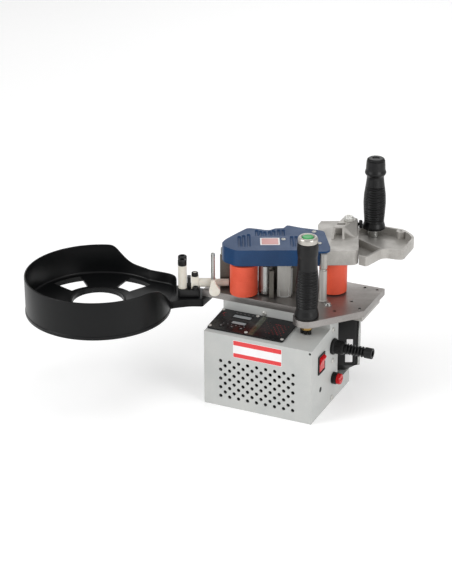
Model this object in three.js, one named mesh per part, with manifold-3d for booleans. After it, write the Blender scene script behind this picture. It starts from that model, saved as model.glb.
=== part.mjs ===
// Portable edge banding machine, in millimetres, +Z up.
// Origin: the middle of the control box's underside. X runs along the box's front, Y to the back.
// The feed head (rollers, gears, glue pot, cover, casting) is turned by feedAngle about Z, so its pieces
// are drawn in feed coordinates: u along the edge band, v across it, towards the panel.

import * as THREE from "three";
import { ConvexGeometry } from "three/addons/geometries/ConvexGeometry.js";
import { mergeVertices, mergeGeometries } from "three/addons/utils/BufferGeometryUtils.js";
import Module from "manifold-3d";

const wasm = await Module();
wasm.setup();

// ---- driving dimensions ------------------------------------------------------------------------------
const gap = 0.3; // clearance between touching pieces
const wall = 1.6; // sheet of the control box
const boxWidth = 180;
const boxDepth = 160;
const boxFront = 124; // height of the vented front
const slopeTop = 130; // height where the sloped top meets the riser
const riserY = -8; // the riser under the base plate
const boxTop = 146;
const plateTop = 157;
const plateBottom = boxTop + gap;
const feedAngle = THREE.MathUtils.degToRad(25);

const rollerRadius = 21.9;
const rollerBottom = 159;
const rollerTop = 209.4;
const castingBottom = 211;
const castingDeck = 219; // top of the plate that carries the gears
const castingTop = 235;
const towerTop = 250;
const coverBottom = 212;
const coverTop = 238.5;

const leftRoller = [-52.8, 31];
const rightRoller = [86.6, 39.6];
const gearTeeth = 24;
const gearPitch = 17.46; // pitch radius: four equal steps from roller to roller
const gearLow = 223;
const gearHigh = 231;
const shaftRadius = 5;

const notch = { x: 9.5, y: 27, z: 24 }; // room for the motor in the box's back right corner
const motorHalf = 40;
const motorCentre = [88.5, 45]; // the motor is square with the feed head
const motorLow = 27;
const motorHigh = 133.5;
const gearboxLow = 134;

const frontHandle = [60.7, -31.6];
const rearHandle = [89, 176];
const rearBase = 229.5;

const trayCentre = [-266, -94];
const trayRadius = 114;
const trayLow = 133;
const trayFloor = 146;
const trayRim = 195;
const trayWall = 3;

const slopeAngle = Math.atan2(slopeTop - boxFront, riserY + boxDepth / 2);

// ---- materials ---------------------------------------------------------------------------------------
function finish(color, roughness, metalness) {
  return new THREE.MeshStandardMaterial({ color, roughness, metalness });
}
const greyPaint = finish(0xbdbdb8, 0.5, 0.2);
const castGrey = finish(0xa9a8a2, 0.55, 0.6);
const blackPlastic = finish(0x161616, 0.45, 0);
const blackRubber = finish(0x121212, 0.7, 0);
const steel = finish(0xb9bbbd, 0.35, 0.9);
const chrome = finish(0xdcdfe2, 0.12, 1);
const brass = finish(0xc9a35a, 0.35, 0.9);
const silicone = finish(0xcf4a2c, 0.5, 0);
const bluePaint = finish(0x34527a, 0.4, 0.1);
const nylon = finish(0xe9e4d8, 0.5, 0);
const glass = finish(0x9aa09c, 0.15, 0);
const redPlastic = finish(0xc0141a, 0.3, 0);
const greenPlastic = finish(0x5fbf6a, 0.35, 0);
const boardGreen = finish(0x1f5a38, 0.5, 0);
const darkMetal = finish(0x3a3a3a, 0.6, 0.7);

// ---- solids ------------------------------------------------------------------------------------------
function solid(geometry) {
  const plain = geometry.index ? geometry.toNonIndexed() : geometry.clone();
  plain.deleteAttribute("normal");
  plain.deleteAttribute("uv");
  const merged = mergeVertices(plain, 1e-4);
  const mesh = new wasm.Mesh({
    numProp: 3,
    vertProperties: new Float32Array(merged.attributes.position.array),
    triVerts: new Uint32Array(merged.index.array),
  });
  return new wasm.Manifold(mesh);
}

function join(first, ...others) {
  return others.reduce((whole, other) => whole.add(other), first);
}

function cut(first, ...tools) {
  return tools.reduce((whole, tool) => whole.subtract(tool), first);
}

function geometryOf(body) {
  const mesh = body.getMesh();
  const geometry = new THREE.BufferGeometry();
  const count = mesh.vertProperties.length / mesh.numProp;
  const position = new Float32Array(count * 3);
  for (let i = 0; i < count; i += 1) {
    for (let k = 0; k < 3; k += 1) {
      position[i * 3 + k] = mesh.vertProperties[i * mesh.numProp + k];
    }
  }
  geometry.setAttribute("position", new THREE.BufferAttribute(position, 3));
  geometry.setIndex(new THREE.BufferAttribute(new Uint32Array(mesh.triVerts), 1));
  return geometry;
}

function add(parent, name, body, material) {
  const mesh = new THREE.Mesh(geometryOf(body), material);
  mesh.name = name;
  parent.add(mesh);
  return mesh;
}

// A block between two corners.
function block([x0, y0, z0], [x1, y1, z1]) {
  const geometry = new THREE.BoxGeometry(x1 - x0, y1 - y0, z1 - z0);
  geometry.translate((x0 + x1) / 2, (y0 + y1) / 2, (z0 + z1) / 2);
  return solid(geometry);
}

// An upright rod between two heights.
function rod([x, y], radius, low, high, sides = 16) {
  const geometry = new THREE.CylinderGeometry(radius, radius, high - low, sides);
  geometry.rotateX(Math.PI / 2);
  geometry.translate(x, y, (low + high) / 2);
  return solid(geometry);
}

// A rod along X, or along Y when it is turned.
function lyingRod(axis, start, end, [a, b], radius, sides = 16) {
  const geometry = new THREE.CylinderGeometry(radius, radius, end - start, sides);
  if (axis === "x") {
    geometry.rotateZ(-Math.PI / 2);
    geometry.translate((start + end) / 2, a, b);
  } else {
    geometry.translate(a, (start + end) / 2, b);
  }
  return solid(geometry);
}

// A body turned about an upright axis: profile points are [radius, height], listed from bottom to top.
function turned([x, y], profile, sides = 16) {
  const points = profile.map(([r, z]) => new THREE.Vector2(r, z));
  const geometry = new THREE.LatheGeometry(points, sides);
  geometry.rotateX(Math.PI / 2);
  geometry.translate(x, y, 0);
  return solid(geometry);
}

// The same, with its axis along X, starting at x.
function turnedAlongX([x, y, z], profile, sides = 16) {
  const points = profile.map(([r, along]) => new THREE.Vector2(r, along));
  const geometry = new THREE.LatheGeometry(points, sides);
  geometry.rotateZ(-Math.PI / 2);
  geometry.translate(x, y, z);
  return solid(geometry);
}

// A closed outline through corner points [x, y, radius]; a corner with a radius is rounded.
function outline(corners) {
  const shape = new THREE.Shape();
  const count = corners.length;
  corners.forEach(([x, y, radius = 0], i) => {
    const here = new THREE.Vector2(x, y);
    const before = new THREE.Vector2(...corners[(i + count - 1) % count]);
    const after = new THREE.Vector2(...corners[(i + 1) % count]);
    const start = here.clone().add(before.sub(here).setLength(radius));
    const end = here.clone().add(after.sub(here).setLength(radius));
    if (i === 0) {
      shape.moveTo(start.x, start.y);
    } else {
      shape.lineTo(start.x, start.y);
    }
    if (radius > 0) {
      shape.quadraticCurveTo(x, y, end.x, end.y);
    }
  });
  shape.closePath();
  return shape;
}

// A flat piece of an outline between two heights.
function slab(shape, low, high, curveSegments = 5) {
  const geometry = new THREE.ExtrudeGeometry(shape, {
    depth: high - low,
    bevelEnabled: false,
    curveSegments,
  });
  geometry.translate(0, 0, low);
  return solid(geometry);
}

// An outline drawn in Y and Z, carried along X from x0 to x1.
function slabAlongX(shape, x0, x1, curveSegments = 5) {
  const geometry = new THREE.ExtrudeGeometry(shape, { depth: x1 - x0, bevelEnabled: false, curveSegments });
  geometry.applyMatrix4(new THREE.Matrix4().set(0, 0, 1, x0, 1, 0, 0, 0, 0, 1, 0, 0, 0, 0, 0, 1));
  return solid(geometry);
}

// An outline drawn in X and Z, carried along Y from y0 to y1.
function slabAlongY(shape, y0, y1, curveSegments = 5) {
  const geometry = new THREE.ExtrudeGeometry(shape, { depth: y1 - y0, bevelEnabled: false, curveSegments });
  geometry.applyMatrix4(new THREE.Matrix4().set(1, 0, 0, 0, 0, 0, -1, y1, 0, 1, 0, 0, 0, 0, 0, 1));
  return solid(geometry);
}

function feedPoint([u, v]) {
  return [
    u * Math.cos(feedAngle) - v * Math.sin(feedAngle),
    u * Math.sin(feedAngle) + v * Math.cos(feedAngle),
  ];
}

// ---- groups ------------------------------------------------------------------------------------------
const machine = new THREE.Group();
const head = new THREE.Group();
head.rotation.z = feedAngle;
const slope = new THREE.Group(); // local y runs up the sloped top, local z stands out of it
slope.position.set(0, -boxDepth / 2, boxFront);
slope.rotation.x = slopeAngle;
machine.add(head, slope);

// ---- control box -------------------------------------------------------------------------------------
const switchCentre = [-43, 88.5]; // y and z of the rocker on the right side
const glandCentre = [5, 96];
const fuseCentre = [8, 40];
const glandHole = 10.5;
const fuseHole = 8;

function ventHoles() {
  const pitch = 15.15;
  const radius = 2.5;
  const firstX = -61.8;
  const firstZ = 78.4;
  const depth = 6;
  const holes = [];
  function hole(x, z) {
    const geometry = new THREE.CylinderGeometry(radius, radius, depth, 6);
    geometry.translate(x, -boxDepth / 2, z);
    holes.push(geometry);
  }
  for (let row = 0; row < 5; row += 1) {
    for (let column = 0; column < 9; column += 1) {
      hole(firstX + column * pitch, firstZ - row * pitch);
      if (row < 4 && column < 8) {
        hole(firstX + (column + 0.5) * pitch, firstZ - (row + 0.5) * pitch);
      }
    }
  }
  return solid(mergeGeometries(holes));
}

// The side view of the box: upright front, sloped panel, riser and flat top.
function caseProfile(inset, floor) {
  return outline([
    [-boxDepth / 2 + inset, floor],
    [boxDepth / 2 - inset, floor],
    [boxDepth / 2 - inset, boxTop - inset],
    [riserY + inset, boxTop - inset],
    [riserY + inset, slopeTop - inset],
    [-boxDepth / 2 + inset, boxFront - inset],
  ]);
}

function caseShell() {
  const half = boxWidth / 2;
  const outer = slabAlongX(caseProfile(0, 0), -half, half);
  const inner = slabAlongX(caseProfile(wall, -1), -half + wall, half - wall);
  const room = block([notch.x, notch.y, notch.z], [half + 1, boxDepth / 2 + 1, boxTop + 1]);
  const roomWall = block(
    [notch.x - wall, notch.y - wall, notch.z - wall],
    [half + 2, boxDepth / 2 + 2, boxTop + 2],
  );
  const switchHole = block(
    [half - 3, switchCentre[0] - 11.8, switchCentre[1] - 14.8],
    [half + 1, switchCentre[0] + 11.8, switchCentre[1] + 14.8],
  );
  const gland = lyingRod("x", half - 3, half + 1, glandCentre, glandHole + gap, 20);
  const fuse = lyingRod("x", half - 3, half + 1, fuseCentre, fuseHole + gap, 16);
  const hollow = inner.subtract(roomWall);
  return cut(outer, room, hollow, switchHole, gland, fuse, ventHoles());
}

function caseBottom() {
  const margin = wall + gap;
  const halfX = boxWidth / 2 - margin;
  const halfY = boxDepth / 2 - margin;
  return block([-halfX, -halfY, 0], [halfX, halfY, wall]);
}

function rockerBezel() {
  const [y, z] = switchCentre;
  const face = boxWidth / 2 + gap;
  const flange = block([face, y - 12.6, z - 15.6], [face + 2, y + 12.6, z + 15.6]);
  const body = block([face - 14, y - 11.4, z - 14.4], [face + 1, y + 11.4, z + 14.4]);
  const pocket = block([face - 11, y - 10.2, z - 13.2], [face + 3, y + 10.2, z + 13.2]);
  return cut(join(flange, body), pocket);
}

// The rocker tips about a pin along Y; its ends are arcs about that pin, so they clear the bezel.
// It rests with its upper end out.
function rockerSwitch() {
  const [y, z] = switchCentre;
  const pivot = boxWidth / 2 - 3;
  const reach = 12.6;
  const waist = 5.2;
  const tilt = THREE.MathUtils.degToRad(10);
  const from = THREE.MathUtils.degToRad(-8);
  const to = THREE.MathUtils.degToRad(36);
  const low = -Math.PI / 2 - tilt;
  const high = Math.PI / 2 - tilt;
  const shape = new THREE.Shape();
  shape.moveTo(pivot + reach * Math.cos(low + from), z + reach * Math.sin(low + from));
  shape.absarc(pivot, z, reach, low + from, low + to, false);
  shape.lineTo(pivot + waist * Math.cos(tilt), z - waist * Math.sin(tilt));
  shape.absarc(pivot, z, reach, high - to, high - from, false);
  shape.closePath();
  return slabAlongY(shape, y - 9.8, y + 9.8, 4);
}

function cableGland() {
  const start = [boxWidth / 2 - 8, ...glandCentre];
  return turnedAlongX(start, [
    [0, 0], [10.2, 0], [10.2, 8 + gap], [13, 8 + gap], [13, 12], [10.8, 13], [10.8, 26], [9, 28], [0, 28],
  ]);
}

function cableBoot() {
  const start = [boxWidth / 2 + 20 + gap, ...glandCentre];
  const mouth = [[0, 0], [7.2, 0], [7.2, 3], [8.3, 4], [8.3, 38], [8.6, 45.5]];
  const body = turnedAlongX(start, [...mouth, [0, 45.5]]);
  const bore = lyingRod("x", start[0] + 34, start[0] + 50, glandCentre, 5.2, 12);
  return body.subtract(bore);
}

function fuseHolder() {
  const start = [boxWidth / 2 - 10, ...fuseCentre];
  const body = turnedAlongX(start, [
    [0, 0], [7.8, 0], [7.8, 10 + gap], [9.6, 10 + gap], [9.6, 17], [8.6, 17.5], [0, 17.5],
  ]);
  return body.subtract(lyingRod("x", start[0] + 12, start[0] + 20, fuseCentre, 6, 16));
}

function fuseCap() {
  const start = [boxWidth / 2 + 3, ...fuseCentre];
  const slot = block(
    [boxWidth / 2 + 13.4, fuseCentre[0] - 5, fuseCentre[1] - 0.8],
    [boxWidth / 2 + 16, fuseCentre[0] + 5, fuseCentre[1] + 0.8],
  );
  const body = turnedAlongX(start, [[0, 0], [5.6, 0], [5.6, 5], [8.6, 5], [8.6, 10], [7.6, 11.5], [0, 11.5]]);
  return body.subtract(slot);
}

// The sloped panel spans the left two thirds of the box's top.
const panelLeft = -89;
const panelRight = 38;
const panelLow = 8.5; // measured up the slope from the front edge
const panelHigh = 70;
const panelSheet = 2.6;
const keyRadius = 3.8;
const keyPlaces = [[-70, 20], [-52, 21], [-36.5, 21]];
const displays = { temp_display: [-64.5, 50, -34, 59.5], speed_display: [-59, 31.5, -35, 40] };

function controlPanel() {
  const shape = outline([
    [panelLeft, panelLow, 4], [panelRight, panelLow, 4],
    [panelRight, panelHigh, 4], [panelLeft, panelHigh, 4],
  ]);
  let plate = slab(shape, gap, gap + panelSheet);
  keyPlaces.forEach((place) => {
    plate = plate.subtract(rod(place, keyRadius + gap, -1, 5, 16));
  });
  Object.values(displays).forEach(([x0, y0, x1, y1]) => {
    plate = plate.subtract(block([x0 - gap, y0 - gap, gap + 1.2], [x1 + gap, y1 + gap, 5]));
  });
  return plate;
}

function transformer() {
  const core = block([-75, -5, wall + gap], [-15, 45, 48]);
  const coil = block([-66, -14, 10], [-24, 54, 40]);
  const foot = block([-82, 2, wall + gap], [-8, 38, 4]);
  return join(core, coil, foot);
}

function controlBoard() {
  const board = block([-70, -68, 100], [40, -14, 101.6]);
  const relay = block([10, -40, 101], [28, -24, 114]);
  const chip = block([-50, -50, 101], [-30, -38, 105]);
  const capacitor = rod([-10, -30], 5, 101, 114, 12);
  return join(board, relay, chip, capacitor);
}

// ---- base plate and motor ----------------------------------------------------------------------------
const plateLeft = -126;
const plateFront = -8.5;
const plateRight = 133.5;
const plateBackV = 73; // the back edge runs along the feed direction
const lugRadius = 21;

function basePlate() {
  const [hx, hy] = frontHandle;
  const shape = new THREE.Shape();
  const backCorner = feedPoint([feedU(69, plateBackV), plateBackV]);
  const leftBackY = (plateBackV + plateLeft * Math.sin(feedAngle)) / Math.cos(feedAngle);
  shape.moveTo(plateLeft, plateFront);
  shape.lineTo(hx - lugRadius, plateFront);
  shape.lineTo(hx - lugRadius, hy);
  shape.absarc(hx, hy, lugRadius, Math.PI, 2 * Math.PI - 0.75, false);
  shape.lineTo(plateRight, 22);
  shape.lineTo(plateRight, backCorner[1]);
  shape.lineTo(backCorner[0], backCorner[1]);
  shape.lineTo(plateLeft, leftBackY);
  shape.closePath();
  const holes = [
    rod(feedPoint(rightRoller), 8, 140, 160, 20),
    rod(feedPoint(leftRoller), shaftRadius + gap, 140, 160, 16),
    rod(feedPoint(gearStep[1]), 4 + gap, 140, 160, 16),
    rod(frontHandle, 6 + gap, 140, 160, 16),
    ...[[103.6, 104], [123.9, 103.6], [103.3, 46.5], [123.8, 27.7], [92.1, 3.5]].map((place) =>
      rod(place, 2.6, 140, 160, 10),
    ),
  ];
  return cut(slab(shape, plateBottom, plateTop, 8), ...holes);
}

function feedU(x, v) {
  return (x + v * Math.sin(feedAngle)) / Math.cos(feedAngle);
}

function gearboxHousing() {
  const outer = block([27, notch.y + 3, gearboxLow], [128, 107, boxTop - gap]);
  const hollow = block([33, notch.y + 9, gearboxLow + 4], [122, 101, boxTop + 2]);
  const passage = rod(feedPoint(motorCentre), 9, gearboxLow - 2, gearboxLow + 6, 20);
  return cut(outer, hollow, passage);
}

// The motor's end bell tapers to the bottom from an octagon the size of the body.
function motorBody() {
  const [u, v] = motorCentre;
  const r = motorHalf;
  const bell = 16;
  const corner = 9;
  const round = outline([
    [u - r, v - r, corner], [u + r, v - r, corner], [u + r, v + r, corner], [u - r, v + r, corner],
  ]);
  const ring = (half, side, z) =>
    [[half, side], [side, half], [-side, half], [-half, side], [-half, -side], [-side, -half], [side, -half],
      [half, -side]].map(([du, dv]) => [u + du, v + dv, z]);
  const end = wedge([...ring(r - bell, r - bell - 5, motorLow), ...ring(r, r - 7, motorLow + bell)]);
  return join(slab(round, motorLow + bell, motorHigh, 4), end);
}

// ---- handles -----------------------------------------------------------------------------------------
const gripBase = plateTop + gap;
const gripTop = gripBase + 122;
const capLow = gripTop + gap;
const capHigh = capLow + 9.4;
const rearTop = 343.6;

// Each station is [radius, share of the grip's length].
function stationsToProfile(stations, base, top) {
  return stations.map(([radius, share]) => [radius, base + share * (top - base)]);
}

// The foot flares, the middle swells for the palm, and a neck parts it from the upper bulge.
function frontHandleGrip() {
  const bore = 6;
  const outside = stationsToProfile(
    [
      [18.4, 0], [18.4, 0.04], [16.3, 0.11], [16.8, 0.22], [17.9, 0.38], [17.4, 0.52], [15.2, 0.67],
      [14.8, 0.8], [16, 0.87], [16.2, 0.95], [15.4, 1],
    ],
    gripBase, gripTop,
  );
  return turned(frontHandle, [[bore, gripBase], ...outside, [bore, gripTop], [bore, gripBase]]);
}

function frontHandleCap() {
  const radius = 15.2;
  const body = turned(
    frontHandle,
    [[0, capLow], [radius, capLow], [radius, capHigh - 2.4], [radius - 1.8, capHigh], [0, capHigh]],
    28,
  );
  return body.subtract(rod(frontHandle, 9.2, capLow + 2, capHigh + 5, 24));
}

function startButton() {
  const radius = 8.8;
  const low = capLow + 4.5;
  const high = capHigh + 0.8;
  const profile = [[0, low], [radius, low], [radius, high - 2], [radius - 2.5, high - 0.5], [0, high]];
  return turned(frontHandle, profile);
}

const tubeInner = 4;
const tubeOuter = 5.6;
const tubeLow = 136.2;

function handleTube() {
  return turned(
    frontHandle,
    [
      [tubeInner, tubeLow], [tubeOuter, tubeLow], [tubeOuter, gripTop - gap], [tubeInner, gripTop - gap],
      [tubeInner, tubeLow],
    ],
    16,
  );
}

function handleNut() {
  const body = rod(frontHandle, 10.5, 137, boxTop, 6);
  return body.subtract(rod(frontHandle, tubeOuter + gap, 130, 150, 16));
}

// Three round terminals side by side under the nut, and the core that goes up the tube.
function buttonTerminals() {
  const [x, y] = frontHandle;
  const low = 129;
  const high = tubeLow - gap;
  const pegPlaces = [[-6.2, -2.5], [0, -4.5], [6.2, -2.5]];
  const pegs = pegPlaces.map(([dx, dy]) => rod([x + dx, y + dy], 2.9, low, high, 12));
  const bridge = block([x - 7, y - 3, high - 2.4], [x + 7, y + 4, high - 0.2]);
  return join(bridge, ...pegs, rod(frontHandle, tubeInner - gap, 131, 150, 10));
}

function rearHandleBolt() {
  const foot = 9;
  const stem = 5;
  return turned(rearHandle, [
    [0, shoeFloor + gap], [foot, shoeFloor + gap], [foot - 0.6, rearBase - gap], [stem, rearBase - gap],
    [stem, rearBase + 68], [0, rearBase + 68],
  ], 20);
}

function rearHandleGrip() {
  const bore = 5.4;
  const boreTop = rearBase + 70;
  const outside = stationsToProfile(
    [
      [18, 0], [18, 0.03], [15.7, 0.1], [16.8, 0.22], [17.8, 0.38], [17.2, 0.5], [15, 0.64],
      [13.5, 0.75], [17, 0.825], [15.5, 0.87], [14.5, 1],
    ],
    rearBase, rearTop,
  );
  return turned(rearHandle, [[0, boreTop], [bore, boreTop], [bore, rearBase], ...outside, [0, rearTop]]);
}

function rearHandleCap() {
  const low = rearTop + gap;
  const high = low + 3.4;
  return turned(rearHandle, [[0, low], [13.8, low], [13.8, low + 1.6], [11.6, high], [0, high]]);
}

// ---- feed head: rollers and gears --------------------------------------------------------------------
const coreRadius = 13.8;
const glueRadius = 12.6;
const shaftLow = 148;
const gearStep = [0, 1, 2, 3, 4].map((step) => [
  leftRoller[0] + ((rightRoller[0] - leftRoller[0]) * step) / 4,
  leftRoller[1] + ((rightRoller[1] - leftRoller[1]) * step) / 4,
]);
const trainAngle = Math.atan2(rightRoller[1] - leftRoller[1], rightRoller[0] - leftRoller[0]);

// A spur gear with straight-sided teeth.
// Every second gear is turned by half a tooth, so that teeth meet gaps.
function spurGear(step, boreRadius) {
  const [cx, cy] = gearStep[step];
  const module = (2 * gearPitch) / gearTeeth;
  const tip = gearPitch + 0.8 * module;
  const root = gearPitch - 1.3 * module;
  const toothStep = (2 * Math.PI) / gearTeeth;
  const phase = trainAngle + (step % 2 ? toothStep / 2 : 0);
  const shape = new THREE.Shape();
  for (let i = 0; i < gearTeeth; i += 1) {
    const middle = phase + i * toothStep;
    [[root, -0.3], [tip, -0.11], [tip, 0.11], [root, 0.3]].forEach(([radius, share], k) => {
      const angle = middle + share * toothStep;
      const x = cx + radius * Math.cos(angle);
      const y = cy + radius * Math.sin(angle);
      if (i === 0 && k === 0) {
        shape.moveTo(x, y);
      } else {
        shape.lineTo(x, y);
      }
    });
  }
  shape.closePath();
  const body = slab(shape, gearLow, gearHigh);
  return boreRadius ? body.subtract(rod([cx, cy], boreRadius, gearLow - 1, gearHigh + 1, 16)) : body;
}

function rollerSleeve(centre) {
  const bore = coreRadius + gap;
  return turned(
    centre,
    [[bore, rollerBottom], [rollerRadius, rollerBottom], [rollerRadius, rollerTop], [bore, rollerTop],
      [bore, rollerBottom]],
    28,
  );
}

// The shaft, the metal core that fills the sleeve, and the gear on top are one turned piece.
function gearShaft(step, low) {
  const centre = gearStep[step];
  const collar = low < shaftLow ? [[0, low], [9, low], [9, boxTop - 1], [shaftRadius, boxTop - 1]]
    : [[0, low], [shaftRadius, low]];
  const body = turned(centre, [
    ...collar, [shaftRadius, rollerBottom - 0.5], [coreRadius, rollerBottom - 0.5], [coreRadius, rollerTop],
    [shaftRadius, rollerTop], [shaftRadius, 233], [0, 233],
  ]);
  return join(body, spurGear(step));
}

function glueRoller() {
  const journal = 4;
  const body = turned(gearStep[1], [
    [0, shaftLow], [journal, shaftLow], [journal, 159.5], [glueRadius, 159.5], [glueRadius, 206],
    [journal, 206], [journal, 233], [0, 233],
  ]);
  return join(body, spurGear(1));
}

const idlerPin = 4;

function idlerGear(step) {
  const centre = gearStep[step];
  const hub = rod(centre, 7, castingDeck + gap, gearHigh, 20);
  const bore = rod(centre, idlerPin + gap, castingDeck - 1, gearHigh + 1, 16);
  return join(spurGear(step), hub).subtract(bore);
}

// ---- feed head: casting, cover and supports ----------------------------------------------------------
const castingRight = [[124.6, 34], [131.5, 130]]; // the right face leans out a little towards the back

// A convex body round its corner points.
function wedge(points) {
  return solid(new ConvexGeometry(points.map((point) => new THREE.Vector3(...point))));
}

// The tower leans along the control box's depth, not along the feed: its flank slopes to the casting's right
// side, two fins run down to the deck in front of it, and its top and front are pocketed.
function tower() {
  const foot = castingTop - 1;
  const top = towerTop;
  const core = wedge([
    [88, 76, top], [105, 76, top], [127.6, 110, top], [111, 125, top],
    [88, 76, foot], [105, 74, foot], [124, 66, foot], [131, 126, foot], [111, 128, foot],
  ]);
  const fins = [[83.9, 60.5, 88], [100.8, 58.8, 101.6]].map(([u, v, topU]) =>
    wedge([
      [u, v, foot], [u + 3.4, v, foot], [topU, 77, foot], [topU + 3.4, 77, foot],
      [topU, 77, top], [topU + 3.4, 77, top], [u, v, castingTop + 0.8], [u + 3.4, v, castingTop + 0.8],
    ]),
  );
  const topPocket = block([93.5, 84, top - 8], [107, 91, top + 1]);
  const frontPocket = block([91.4, 70, castingTop + 0.5], [101.6, 80.5, top - 2]);
  return cut(join(core, ...fins), topPocket, frontPocket);
}

function topCasting() {
  const deck = slab(
    outline([
      [-80, 38, 5], [-76, 25, 5], [-64, 15, 5], [70, 15], [70, 86.5], [36, 95], [18, 106], [12, 95], [-3, 94],
      [-14, 87], [-36, 93], [-47, 95, 4], [-63, 72, 6], [-78, 52, 6],
    ]),
    castingBottom, castingDeck, 3,
  );
  const body = slab(
    outline([
      [66, 15], [117, 15, 4], [123.6, 21, 4], castingRight[1], [125, 136], [72, 136], [66, 120],
    ]),
    castingBottom, castingTop,
  );
  const pocket = block([60, 19, castingDeck], [107.5, 61, castingTop - 1.5]);
  const column = join(
    rod([70, 4.5], 5, castingBottom, castingTop, 16),
    block([65, 4.5, castingBottom], [75, 17, castingTop]),
  );
  const pins = [2, 3].map((step) => rod(gearStep[step], idlerPin, castingDeck - 1, 232.5, 16));
  const holes = [0, 1, 4].map((step) =>
    rod(gearStep[step], shaftRadius + gap, castingBottom - 1, castingDeck + 1, 16),
  );
  const screwHole = rod(heightScrewPlace, 4.3, 240, towerTop + 1, 16);
  const knobHole = lyingRod("x", 112, 136, lockKnobPlace, 2.8, 12);
  const solidBody = cut(join(body, tower(), column), pocket, screwHole, knobHole);
  return cut(join(deck, solidBody, ...pins), ...holes);
}

const heightScrewPlace = [113.5, 101];
const lockKnobPlace = [106, 242]; // v and z

function heightScrew() {
  return turned(heightScrewPlace, [
    [0, 241], [4, 241], [4, towerTop + gap], [7.6, towerTop + gap], [7.6, 256], [6, 258], [0, 258],
  ]);
}

function lockKnob() {
  const face = 130.2;
  return turnedAlongX([face, ...lockKnobPlace], [
    [0, -7], [2.5, -7], [2.5, 0], [6.2, 0], [6.6, 1.5], [6.6, 4], [5, 5.4], [0, 5.4],
  ]);
}

// The cover is a shell over the gears; its thin right end lies on the casting.
function topCover() {
  const main = slab(
    outline([
      [-66, 10.5, 8], [64, 10.5], [64, 91.5], [36.6, 101.2, 6],
      [16.4, 111.8, 5], [11, 99.6, 3], [-3, 98.5, 4],
      [-10, 92.5, 2], [-17, 91.7, 3], [-34.5, 98.1, 4], [-46.3, 101, 5], [-66.2, 76.1, 8], [-82, 54.4, 6],
      [-87.5, 40, 5], [-83.7, 28, 5],
    ]),
    coverBottom, coverTop,
  );
  const tab = slab(
    outline([[60, 5], [72.6, 5, 4], [79.2, 11, 4], [80.2, 22], [74, 86, 5], [60, 93]]),
    castingTop + gap, coverTop,
  );
  const hollow = slab(
    outline([
      [-65, 12, 7], [64.5, 12], [64.5, 89], [36, 98.5, 4], [18, 109, 4], [12.5, 97, 3], [-3, 96, 4],
      [-10, 90, 2], [-17, 89, 3], [-35, 95.5, 4], [-45.5, 98, 4], [-64.2, 74.6, 8], [-79.6, 53.4, 6],
      [-84.8, 40, 5], [-81.3, 29.6, 4],
    ]),
    coverBottom - 1, castingTop + gap,
  );
  return cut(join(main, tab), hollow);
}

function frontPillar() {
  return turned([68.6, 2.8], [
    [0, gripBase], [7.5, gripBase], [7.5, 158.8], [6.2, 159.4],
    [6.2, 208], [4.4, 208], [4.4, 210.7], [0, 210.7],
  ], 20);
}

function leftSupport() {
  return block([-90, 57.6, plateTop + gap], [-70, 62.2, castingBottom - gap]);
}

function supportBolt() {
  return rod([-86.6, 60], 2.2, castingBottom, 223, 10);
}

// The shoe plate is cast as a rimmed tray with pockets; it lies beside the casting's right face.
const shoeFloor = 215;
const shoeRim = 227;

function shoePlate() {
  const lean = (castingRight[1][0] - castingRight[0][0]) / (castingRight[1][1] - castingRight[0][1]);
  const besideCasting = (v, inset) =>
    feedPoint([castingRight[0][0] + (v - castingRight[0][1]) * lean + 0.8 + inset, v]);
  const outer = slab(
    outline([
      besideCasting(17, 0), [119, 65.5, 4], [124.5, 85, 6], [129, 103, 5], [137, 109, 4], [150, 109.8],
      [162, 113.5, 5], [161, 168, 8], [151, 181, 6], [134, 193.5, 6], [76, 193.5, 6], besideCasting(140, 0),
    ]),
    castingBottom, shoeRim,
  );
  const pocket = slab(
    outline([
      besideCasting(20.5, -3), [116, 69.7, 3], [120.7, 86.5, 5], [125.5, 105.5, 4], [135.5, 113, 4],
      [149.5, 113.8], [158, 116.3, 4], [157, 166, 6], [148, 178, 5], [132.5, 189.5, 5], [78, 189.5, 4],
      besideCasting(136, -3),
    ]),
    shoeFloor, shoeRim + 1,
  );
  const rib = slab(outline([[80, 128], [127, 105.5], [129, 109.5], [82, 132]]), shoeFloor - 1, shoeRim);
  const ribTrim = slab(
    outline([besideCasting(-20, -60), besideCasting(-20, 0), besideCasting(160, 0), besideCasting(160, -60)]),
    castingBottom - 1, shoeRim + 1,
  );
  const boss = rod([131, 186], 7, shoeFloor - 1, shoeRim, 16);
  const bossHole = rod([131, 186], 2.5, castingBottom - 1, shoeRim + 1, 10);
  const floorHole = rod([148.4, 140], 2.5, castingBottom - 1, shoeFloor + 1, 10);
  return cut(join(outer.subtract(pocket), rib, boss), ribTrim, bossHole, floorHole);
}

// ---- feed head: glue pot, cutter and guides ----------------------------------------------------------
function gluePot() {
  const shape = outline([[-30, 48.5], [0, 48.5], [0, 33], [38, 33], [38, 58.5], [-30, 58.5]]);
  const cavity = block([4, 37, 162.6], [34, 54.5, 210]);
  const slot = block([-1, 40, 166], [5, 44, 200]);
  const heaterHole = rod(heaterPlace, 4 + gap, 160, 210, 16);
  return cut(slab(shape, plateTop + gap, 205), cavity, slot, heaterHole);
}

const heaterPlace = [-18, 53.5];

function heaterCartridge() {
  return rod(heaterPlace, 4, 160.5, 209, 16);
}

function cutterBlock() {
  return block([-1.5, 16.3, plateTop + gap], [20, 32.4, castingBottom - gap]);
}

function cutterBlade() {
  const shape = outline([[16, 160], [31, 160], [31, 205], [18, 205]]);
  return slabAlongX(shape, 20.4, 22.2);
}

function bandWire() {
  const radius = 0.8;
  const low = plateTop + gap;
  return join(
    rod([2, 7], radius, low, 176.6, 8),
    rod([16, 7], radius, low, 176.6, 8),
    lyingRod("x", 2, 16, [7, 161.3], radius, 8),
  );
}

const restBarAxis = [51.5, 166.8]; // v and z

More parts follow.
